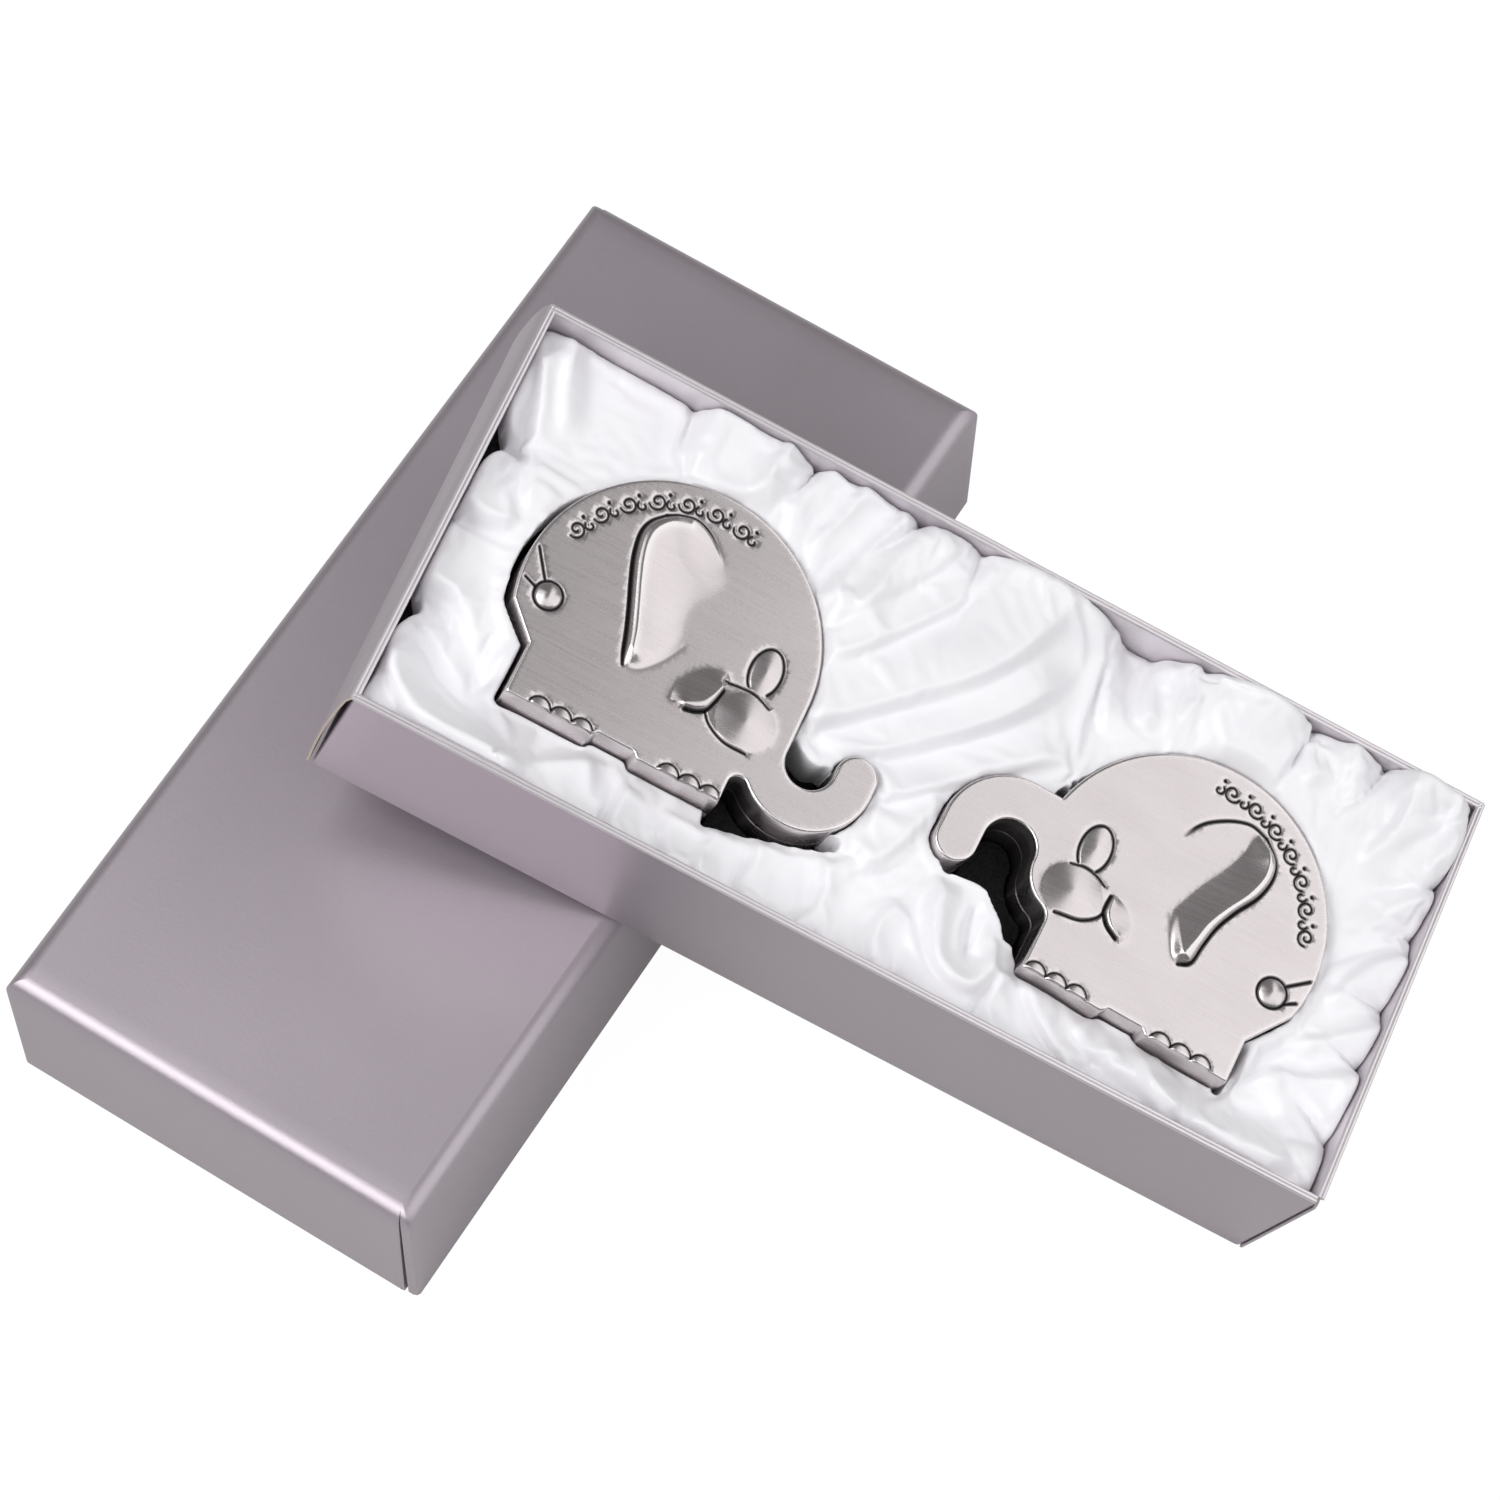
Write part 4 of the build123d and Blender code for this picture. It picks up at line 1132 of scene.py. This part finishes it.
def make_rims():
    """The double fold along the top of each wall."""
    path_points = 12
    long_x, end_y = tray_length / 2 - rim_aside, tray_width / 2 - rim_aside
    in_x, in_y = tray_length / 2 - card_wall / 2, tray_width / 2 - card_wall / 2
    runs = [((-long_x, -in_y), (long_x - 0.9, -in_y)), ((long_x, in_y), (-long_x, in_y)),
            ((in_x, -end_y + 1.0), (in_x, end_y)), ((-in_x, end_y), (-in_x, -end_y))]
    points, edges = [], []
    for a, b in runs:
        for i in range(path_points):
            share = i / (path_points - 1)
            if i:
                edges.append((len(points) - 1, len(points)))
            points.append((a[0] + (b[0] - a[0]) * share, a[1] + (b[1] - a[1]) * share,
                           tray_height - rim_drop))
    paths = bpy.data.meshes.new("rim_paths")
    paths.from_pydata(points, edges, [])
    # The rims take the card painted lighter as a highlight.
    swept = made_by_nodes("rims", paths, rim_tree(), Fold_Radius=fold_radius,
                          Spacing=fold_spacing, Finish=painted_highlight_rim)
    flat = np.array([v.co[:] for v in swept.vertices])
    faces = [tuple(f.vertices) for f in swept.polygons]
    ends = [int(len(face) > 4) for face in faces]
    return new_piece("rolled_rims", flat, faces, [painted_highlight_rim, raw_card], in_tray, 50, ends)


tray_body, rims = make_tray_body(), make_rims()
for piece in (tray_body, rims):
    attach(piece, "gift_tray")
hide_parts("gift_tray")
print("rims", len(rims.data.polygons), "faces")

# %% [markdown]
# Under the satin lies a bed of black foam in two slabs. The upper one is cut out to the outline of
# each box, a little larger than the box, and that is what shows as black where the satin leaves a
# gap. Velvet pads line the boxes' hollows and felt keeps the pewter off the foam. These are simple
# soft slabs: a row near the top and one near the bottom are drawn in, so that no edge is hard.
# %% Foam, velvet and felt
def to_tray(line, place):
    """A box's flat line of points, laid out in the tray, counter-clockwise."""
    line = np.asarray(line, float) @ place[:2, :2].T + place[:2, 3]
    return line if np.linalg.det(place[:2, :2]) > 0 else line[::-1]


def slab(name, outer, low, high, soft, finish, place, wells=()):
    """A flat soft piece with rounded edges and, where given, wells cut through it."""
    shell = Shell()
    levels = [(soft, low), (soft * 0.3, low + soft * 0.3), (0, low + soft)]
    levels += [(inset, low + high - z) for inset, z in levels[::-1]]
    rows = [shell.row(inward(outer, inset), z) for inset, z in levels]
    shell.stack(rows)
    bottoms, tops = [rows[0]], [rows[-1]]
    for well in wells:
        sides = [shell.row(inward(well, -inset), z) for inset, z in levels]
        shell.stack(sides, inwards=True)
        bottoms.append(sides[0])
        tops.append(sides[-1])
    shell.cap(bottoms, low, False)
    shell.cap(tops, high, True)
    return new_piece(name, shell.points, shell.faces, [finish], place, smooth=60)


wall_play = 0.1
half_x = tray_length / 2 - card_wall - wall_play
half_y = tray_width / 2 - card_wall - wall_play
tray_inside = rectangle(half_x, half_y, 0.8)
box_outlines = [to_tray(t["outline"], place) for t, place in ((tooth_relief, tooth_in_tray),
                                                              (curl_relief, curl_in_tray))]
foam_slab = slab("foam_bed", tray_inside, card_floor, foam_seam, 0.5, black_foam, in_tray)
foam_well_slab = slab("foam_with_wells", tray_inside, foam_seam, foam_top, 0.3, black_foam, in_tray,
                      [inward(line[::3], -0.55) for line in box_outlines])
soft_pieces = [(foam_slab, "gift_tray", "foam_base", "black_foam"),
               (foam_well_slab, "gift_tray", "foam_cutout", "black_foam")]
pad_foot = box_bottom + box_floor
for kind, table, foot, place in boxes:
    pad = slab(f"{kind}_velvet", hollow(foot, box_wall + velvet_play, 140), pad_foot,
               pad_foot + velvet_thickness, 0.3, dark_velvet, in_tray @ place)
    foot_felt = slab(f"{kind}_felt", inward(table["outline"][::3], 1.9),
                     box_bottom - felt_thickness, box_bottom, 0.15, dark_felt, in_tray @ place)
    soft_pieces += [(pad, f"{kind}_box", f"{kind}_box_velvet_pad", "dark_velvet"),
                    (foot_felt, f"{kind}_box", f"{kind}_box_felt_foot", "dark_felt")]
for piece, body, node, slot in soft_pieces:
    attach(piece, body)
    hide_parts(node)
    print(piece.name, len(piece.data.polygons), "faces")

# %% [markdown]
# The satin is one sheet, laid loosely over the foam, tucked down along the four walls and round
# both boxes, and pushed into pleats as it is packed. It starts here as a smooth surface through
# heights judged from the photograph. The main folds are then raised along drawn lines, each steep
# on one side and slack on the other, because that is how a pleat falls over.
# %% Lie of the satin
satin_heights = np.array([
    (-87, 37, 29.5), (-72, 37, 29.3), (-59, 37, 29.6), (-48, 37, 30), (-36.5, 37, 29.8),
    (-27, 37, 30), (-16.5, 37, 30), (-5.5, 37, 30.2), (8, 37, 30), (21, 37, 27.6), (29, 37, 27.6),
    (37, 37, 29.6), (47, 37, 30), (57, 37, 30), (72, 37, 30.5), (87, 37, 31),
    (-75, 22, 31), (-60, 26, 32.2), (-47, 28, 33.6), (-36, 26, 33.2), (-27, 18, 33.6),
    (-20.5, 8, 33.8), (-19, -2, 32), (-87, 16, 29), (-87, 0, 28.8), (-87, -17, 28.8),
    (-81, 6, 31.2), (-80, -8, 31), (-77, 15, 31), (-77, -15, 30.3), (-87, -37, 30), (-72, -37, 31),
    (-60, -37, 30.5), (-45, -37, 30), (-33, -37, 30), (-20, -37, 30), (0, -37, 30), (15, -37, 30.5),
    (30, -37, 29.5), (45, -37, 29.5), (60, -37, 30), (75, -37, 31), (87, -37, 30), (-69, -29, 28.4),
    (-55, -29, 28.8), (-45, -30, 29.2), (-30, -29, 29.2), (-15, -25.5, 30.4), (-4, -20, 32),
    (0, -10, 32.3), (0, 5, 33.3), (5, 20, 36.5), (-10, 25, 33.5), (-14, 3, 32), (5, -15, 32.3),
    (17, -21, 32.5), (20, 9, 33), (24, 20, 32), (10, 10, 34.2), (30, 26, 32), (45, 28, 34.6),
    (60, 26, 34.4), (73, 15, 33.6), (77, 0, 32.4), (76, -12, 31), (70, -28, 28.8), (50, -30, 28.8),
    (35, -30, 29.4), (87, 0, 31), (87, 21, 31.5), (87, -14, 30.5), (81, 27, 35)], float)
dark_gaps = [
    [(-21.6, -6.6), (-19, -8.8), (-16, -10), (-12.8, -9), (-12.8, -17), (-22.5, -17)],
    [(-28.6, -27.0), (-20, -25), (-9, -21.9), (-7, -21), (-6.8, -19.5), (-29, -17)],
    [(20.9, 3.4), (23.0, 8), (25.4, 11), (25.8, 10), (23, 2)],
    [(6.3, -3), (6.1, -9), (9.8, -15.4), (12.5, -15.3), (17, -14.8), (20, -17), (23, -19.5),
     (23.5, -21), (25.5, -21), (28.6, -24), (31, -20), (28, -11), (25, -4), (20, -2), (12, -2),
     (8, -1)],
    [(66.8, -16.5), (68.3, -18.5), (67.7, -26.9), (66, -26.5), (66, -20)]]
# Each lobe: where it starts and ends along its wall, and how far it stands up.
far_lobes = [(-87, -60, 2.2), (-58.5, -37, 6.0), (-35.5, -17.5, 4.5), (-15.5, -6, 5.8),
             (-5.5, 21, 9.6), (29.5, 36.5, 5.0), (36.5, 57, 10.6), (57.5, 72, 6.0),
             (72.5, 87.5, 9.0)]
right_lobes = [(-37, -27, 3.5), (-26, -13, 4.5), (-12, -2, 3.5), (-1, 12, 4.0), (13, 22, 3.5),
               (23, 37, 5.5)]
left_lobes = [(-37, -18.5, 3.5), (-15.5, -1, 3.6), (0, 14.5, 3.4), (17.5, 37, 3.6)]
near_lobes = [(-87, -59, 4.4), (-57, -44, 3.0), (-43, -34, 2.5), (-33, -20, 3.0), (-19, -7, 2.5),
              (-5, 9, 3.0), (10, 24, 3.8), (26, 44, 2.6), (46, 61, 3.0), (63, 87, 4.0)]
# Each pleat: how far it rises, how wide its steep and its slack side are, and its line.
pleats = [
    (1.7, 0.6, 5, [(-56, 38), (-56.5, 32), (-58, 26)]),
    (1.5, 0.6, 4, [(-43, 38), (-44, 31), (-45.5, 25)]),
    (2.2, 0.6, 4, [(-34.5, 38), (-37, 31), (-40, 25)]),
    (1.4, 0.6, 4, [(-28, 38), (-30, 30), (-33.5, 21)]),
    (2.0, 0.7, 5, [(-19.5, 38), (-24, 26), (-27.5, 12)]),
    (1.5, 0.8, 4, [(-14.5, 38), (-19, 27), (-22, 10)]),
    (1.8, 0.7, 6, [(-87, 33), (-83, 25), (-78.5, 12), (-76, 3)]),
    (-1.5, 0.9, 3, [(-88, 15.5), (-83, 14.5), (-78, 15)]),
    (1.5, 0.7, 4, [(-88, 3), (-82, 2), (-76, 4)]),
    (1.6, 0.7, 4, [(-88, -13), (-80, -13), (-72, -20)]),
    (1.2, 0.6, 3, [(-88, -18), (-80, -21), (-70, -27)]),
    (1.3, 0.8, 3, [(-83, 37), (-80, 28), (-76, 20)]),
    (2.6, 2.6, 4.5, [(-88, -25), (-80, -33), (-70, -35.5), (-55, -35)]),
    (1.8, 0.7, 5, [(-48, -26), (-56, -31), (-66, -38)]), (1.2, 0.6, 3, [(-42, -27), (-42.5, -38)]),
    (1.4, 0.6, 4, [(-34, -27.5), (-33.3, -32), (-31, -38)]),
    (1.2, 0.6, 4, [(-19, -25), (-18.6, -30), (-20, -38)]), (1.0, 0.6, 3, [(-26, -26), (-27, -38)]),
    (2.4, 2.2, 8, [(-23, -6), (-8, 8), (3, 19), (12, 38)]),
    (2.0, 1.8, 6, [(-15, -8), (-2, 3), (9, 14), (17, 28)]),
    (1.5, 1.3, 5, [(-22, 7), (-14, 17), (-6, 28), (-3, 38)]),
    (1.3, 1.5, 4, [(-10, -14), (4, -2), (16, 9), (25, 15)]),
    (1.2, 0.9, 3, [(-24, 13), (-18, 22), (-12, 31), (-10, 38)]),
    (1.4, 0.8, 5, [(-2, -22), (2, -14), (6, -2)]), (1.5, 0.6, 3, [(20, 38), (22, 28), (26, 18)]),
    (2.0, 0.6, 4, [(29, 36), (29.5, 28), (31, 22)]), (1.8, 0.5, 3, [(33, 38), (36, 33), (36, 26)]),
    (1.4, 0.6, 4, [(56, 38), (57, 32), (60, 25)]), (1.6, 0.6, 4, [(63, 38), (66, 30), (68, 22)]),
    (1.8, 0.7, 4, [(74, 38), (76, 28), (73, 18)]), (1.5, 0.6, 3, [(83, 37), (84, 26), (80, 12)]),
    (1.2, 0.5, 3, [(88, 21), (82, 16), (76, 6)]), (1.5, 0.7, 4, [(88, 8), (82, 4), (77, -6)]),
    (1.3, 0.6, 3, [(88, -4), (82, -9), (74, -14)]),
    (1.4, 0.6, 4, [(88, -14), (80, -18), (71, -20)]),
    (2.6, 2.4, 5, [(46, -30.5), (58, -33), (70, -34.5), (80, -33.5), (87, -27)]),
    (1.6, 0.9, 4, [(52, -28), (55, -33), (62, -38)]),
    (1.2, 0.7, 3, [(72, -20), (78, -25), (80, -30)]),
    (1.7, 0.8, 5, [(30, -26), (36, -31), (44, -37)]),
    (1.2, 0.7, 4, [(40, -28), (44, -31), (50, -29)]),
    (2.0, 0.9, 3, [(10, -17), (12, -24), (15, -30), (21, -32), (24, -27), (22, -20)]),
    (-1.6, 0.7, 2, [(17, -18), (17.5, -23), (19.5, -28)]),
    (1.3, 0.7, 3, [(6, -24), (4, -30), (6, -37)]), (1.4, 0.8, 4, [(25, -26), (26, -32), (24, -38)]),
    (1.2, 0.7, 3, [(-8, -23), (-6, -30), (-9, -38)])]


def plate_through(known, points):
    """A thin plate bent through known heights, read at other points."""
    def bend(a, b):
        gap = np.hypot(a[:, None, 0] - b[None, :, 0], a[:, None, 1] - b[None, :, 1])
        return gap ** 2 * np.log(np.maximum(gap, 1e-6))

    n = len(known)
    flat = np.column_stack([np.ones(n), known[:, :2]])
    system = np.zeros((n + 3, n + 3))
    system[:n, :n] = bend(known, known) + 0.8 * np.eye(n)
    system[:n, n:], system[n:, :n] = flat, flat.T
    pull = np.linalg.solve(system, np.concatenate([known[:, 2], np.zeros(3)]))
    level = np.column_stack([np.ones(len(points)), points])
    return bend(points, known) @ pull[:n] + level @ pull[n:]


def pleat_rise(points, rise, steep, slack, line):
    """A fold along a line: steep on its right side, slack on its left."""
    line = flow(line, 1.0)
    starts, by = line[:-1], np.diff(line, axis=0)
    part = points[:, None] - starts[None]
    share = np.clip((part * by).sum(axis=2) / (by ** 2).sum(axis=1), 0, 1)
    gap = part - share[..., None] * by
    far = np.hypot(gap[..., 0], gap[..., 1])
    nearest = far.argmin(axis=1)
    pick = np.arange(len(points)), nearest
    side = by[nearest, 0] * part[pick][:, 1] - by[nearest, 1] * part[pick][:, 0]
    along = (nearest + share[pick]) / len(starts)
    width = np.where(side > 0, slack, steep)
    fade = smoothstep(along, -0.05, 0.12) * (1 - smoothstep(along, 0.75, 1.0))
    return rise * fade * np.exp(-(far[pick] / width) ** 2 * np.where(side > 0, 1.0, 1.3))


def lobe_rise(along, depth, lobes, reach):
    """Arches side by side along a wall, dying away with the depth from it."""
    rise = np.zeros(len(along))
    for start, end, high in lobes:
        share = np.clip((along - start) / (end - start), 0, 1)
        rise = np.maximum(rise, high * (4 * share * (1 - share)) ** 0.42)
    return rise * np.exp(-(np.maximum(depth, 0) / reach) ** 1.6)


def satin_hole(points):
    """Distance into the openings round the boxes, positive where there is no satin."""
    depth = np.full(len(points), -1e9)
    for line in box_outlines:
        beside = smoothstep(-points[:, 0], 62, 72) * (1 - smoothstep(points[:, 1], 8, 18))
        near = signed(points, line[::2]) + 0.25 + 0.8 * beside * (points[:, 0] < -60)
        depth = np.maximum(depth, near)
    for gap in dark_gaps:
        depth = np.maximum(depth, signed(points, flow(gap + gap[:1], 0.8)))
    return depth


def hole_slope(points):
    """The direction in which an opening lies, from the distance's change over a step."""
    step = 0.3
    sides = [satin_hole(points + by) - satin_hole(points - by) for by in ((step, 0), (0, step))]
    return np.column_stack(sides) / (2 * step)


# %% [markdown]
# The sheet is a grid of squares a little under a millimetre. Squares over an opening are left out,
# and the points beside it are moved onto its edge. Each point's height then adds up the plate, the
# pleats, the lobes along the four walls and the tucks beside the walls and the boxes.
# %% Satin grid
satin_step, pleat_share, skirt_foot = 0.86, 1.45, 22.95
wadding_foot, wadding_least, wadding_inset, under_cloth = 23.0, 0.6, 0.6, 1.7
columns = np.linspace(-half_x, half_x, int(2 * half_x / satin_step) + 1)
lines = np.linspace(-half_y, half_y, int(2 * half_y / satin_step) + 1)
grid = np.stack(np.meshgrid(columns, lines), axis=2)
flat = grid.reshape(-1, 2)
depth = satin_hole(flat)
slope = hole_slope(flat)
open_here = (depth > 0).reshape(grid.shape[:2])
kept = ~open_here
spread = kept.copy()
spread[1:] |= kept[:-1]
spread[:-1] |= kept[1:]
spread[:, 1:] |= spread[:, :-1].copy()
spread[:, :-1] |= spread[:, 1:].copy()
edge_point = (spread & open_here).ravel() & (depth < 1.3 * satin_step)
flat[edge_point] -= (depth[:, None] * slope)[edge_point]
beside_left = 1 - smoothstep(flat[:, 0] + half_x, 0, 9)
for y, wide, amount in ((16, 3.2, 2.6), (-17, 2.6, 2.4), (2, 30, 0.5), (-30, 4, 0.5)):
    flat[:, 0] += amount * beside_left * np.exp(-((flat[:, 1] - y) / wide) ** 2)
grid = flat.reshape(grid.shape)
use = kept | edge_point.reshape(kept.shape)
quad = use[:-1, :-1] & use[1:, :-1] & use[1:, 1:] & use[:-1, 1:]
quad &= kept[:-1, :-1] | kept[1:, :-1] | kept[1:, 1:] | kept[:-1, 1:]
quads = np.array(squares(np.arange(use.size).reshape(use.shape)))[quad.ravel()]
used = np.unique(quads)
renumber = np.full(use.size, -1)
renumber[used] = np.arange(len(used))
quads = renumber[quads]
flat = flat[used]

height = plate_through(satin_heights, flat)
for rise, steep, slack, line in pleats:
    height += pleat_share * pleat_rise(flat, rise, 0.85 * steep, slack, line)
x, y = flat.T
focus_x = np.where(x < -14, -47, np.where(x > 26, 48, x))
fan = focus_x + (x - focus_x) * (half_y + 16) / np.maximum(y + 16, 8)
height += lobe_rise(fan, half_y - y, far_lobes, 9)
height += lobe_rise(y + (y + 2) * np.clip(half_x - x, 0, 12) * 0.03, half_x - x, right_lobes, 6.5)
height += lobe_rise(y, half_x + x, left_lobes, 6)
height += lobe_rise(x, half_y + y, near_lobes, 6)
from_hole = -satin_hole(flat)
from_wall = np.minimum(half_x - abs(flat[:, 0]), half_y - abs(flat[:, 1]))
height -= 0.8 * np.exp(-(from_hole / 1.2) ** 2) + 0.4 * np.exp(-(from_wall / 1.0) ** 2)
by_feet = smoothstep(-flat[:, 1], 18, 26)
lowest = 33.6 - np.where(flat[:, 0] > 26, 3.4, 4.4) * by_feet
height = np.where(from_hole < 2.0, np.clip(height, lowest - 1.0, lowest + 1.5 * from_hole), height)
print("satin:", len(flat), "points,", len(quads), "squares, heights",
      round(float(height.min()), 1), "to", round(float(height.max()), 1))


# %% [markdown]
# Real satin buckles, because there is more cloth than room for it. The sheet's rims are held where
# they are tucked in, and short skirts hang there. The cloth is made nearly four parts in a hundred
# too large, and a short simulation at ten times the size lets it find its own crumples over the
# wadding. It always falls the same way, and the result is kept as a plain mesh.
# %% Skirts, wadding and the fall of the cloth
def rim_loops(faces):
    """Directed border edges of a mesh of squares."""
    edges = np.vstack([faces[:, [k, (k + 1) % 4]] for k in range(4)])
    seen = {tuple(e) for e in edges.tolist()}
    return [e for e in edges.tolist() if (e[1], e[0]) not in seen]


satin_rim = rim_loops(quads)
rim_points = np.unique(np.array(satin_rim))


def with_skirt(points, faces, drops):
    """Hangs rows of squares from every border; drops are shares of the way down."""
    points, faces = [tuple(p) for p in points], [tuple(f) for f in faces]
    level = {v: [v] for edge in satin_rim for v in edge}
    for v, column in level.items():
        x, y, z = points[v]
        for share in drops:
            column.append(len(points))
            points.append((x, y, z + (skirt_foot - z) * share))
    for a, b in satin_rim:
        for k in range(len(drops)):
            faces.append((level[b][k], level[a][k], level[a][k + 1], level[b][k + 1]))
    return np.array(points), faces


def make_wadding():
    """The soft filling under the satin: closed, and a little lower than the cloth."""
    pulled = flat.copy()
    ahead = hole_slope(flat[rim_points])
    beside = from_hole[rim_points] < 1.0
    pulled[rim_points[beside]] -= 0.5 * ahead[beside]
    limit = np.array([half_x, half_y]) - wadding_inset
    pulled = np.clip(pulled, -limit, limit)
    least = wadding_foot + wadding_least
    top = np.column_stack([pulled, np.maximum(height - under_cloth, least)])
    low = np.column_stack([pulled, np.full(len(pulled), wadding_foot)])
    n, faces = len(pulled), [tuple(f) for f in quads]
    faces += [tuple(f[::-1] + n) for f in quads]
    faces += [(b, a, a + n, b + n) for a, b in satin_rim]
    return np.vstack([top, low]), faces


enlarged = 10.0
sim_scale = np.diag([enlarged, enlarged, enlarged, 1.0])
sheet_points, sheet_faces = with_skirt(np.column_stack([flat, height]), quads, (0.3, 0.65, 1.0))
pad_points, pad_faces = make_wadding()


def settled(points, faces, frames, growth):
    """Lets the sheet, a little too large for its frame, fall until it has buckled."""
    sheet = new_piece("satin_falling", points, faces, [], sim_scale)
    under = new_piece("wadding_collider", pad_points, pad_faces, [], sim_scale)
    held = sheet.vertex_groups.new(name="held")
    held.add([int(i) for i in rim_points] + list(range(len(flat), len(points))), 1.0, "REPLACE")
    under.modifiers.new("solid", "COLLISION")
    under.collision.thickness_outer, under.collision.cloth_friction = 0.004, 12
    cloth = sheet.modifiers.new("cloth", "CLOTH")
    cloth.settings.quality, cloth.settings.mass = 6, 0.12
    cloth.settings.tension_stiffness = cloth.settings.compression_stiffness = 9
    cloth.settings.shear_stiffness, cloth.settings.bending_stiffness = 3, 3.0
    cloth.settings.tension_damping = cloth.settings.compression_damping = 6
    cloth.settings.air_damping = 3
    cloth.settings.vertex_group_mass, cloth.settings.shrink_min = "held", -growth
    cloth.collision_settings.distance_min = 0.006
    cloth.point_cache.frame_start, cloth.point_cache.frame_end = 1, frames
    scene = bpy.context.scene
    for frame_number in range(1, frames + 1):
        scene.frame_set(frame_number)
    graph = bpy.context.evaluated_depsgraph_get()
    result = bpy.data.meshes.new_from_object(sheet.evaluated_get(graph), depsgraph=graph)
    out = np.empty(len(result.vertices) * 3)
    result.vertices.foreach_get("co", out)
    scene.frame_set(1)
    for extra in (sheet, under):
        bpy.data.objects.remove(extra)
    return out.reshape(-1, 3) / (enlarged * mm)


satin_start = time.time()
sheet_points = settled(sheet_points, sheet_faces, 24, 0.037)
print("satin fell in", round(time.time() - satin_start, 1), "s, up to",
      round(float(sheet_points[:, 2].max()), 1), "mm")

# %% [markdown]
# What the fall leaves is the satin sheet. One step of subdivision rounds its squares, and the
# wadding stays under it, so the sheet has something soft to rest on when the part is used.
# %% Satin and wadding
satin = new_piece("satin_sheet", sheet_points, sheet_faces, [white_satin], in_tray, smooth=180)
rounded = satin.modifiers.new("rounded", "SUBSURF")
rounded.levels = rounded.render_levels = 1
wadding = new_piece("satin_wadding", pad_points, pad_faces, [white_satin], in_tray, smooth=60)
area = sum(p.area for p in satin.data.polygons)
print("satin area", round(area, 5), "m2")
for piece in (satin, wadding):
    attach(piece, "gift_tray")
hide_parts("satin_lining")
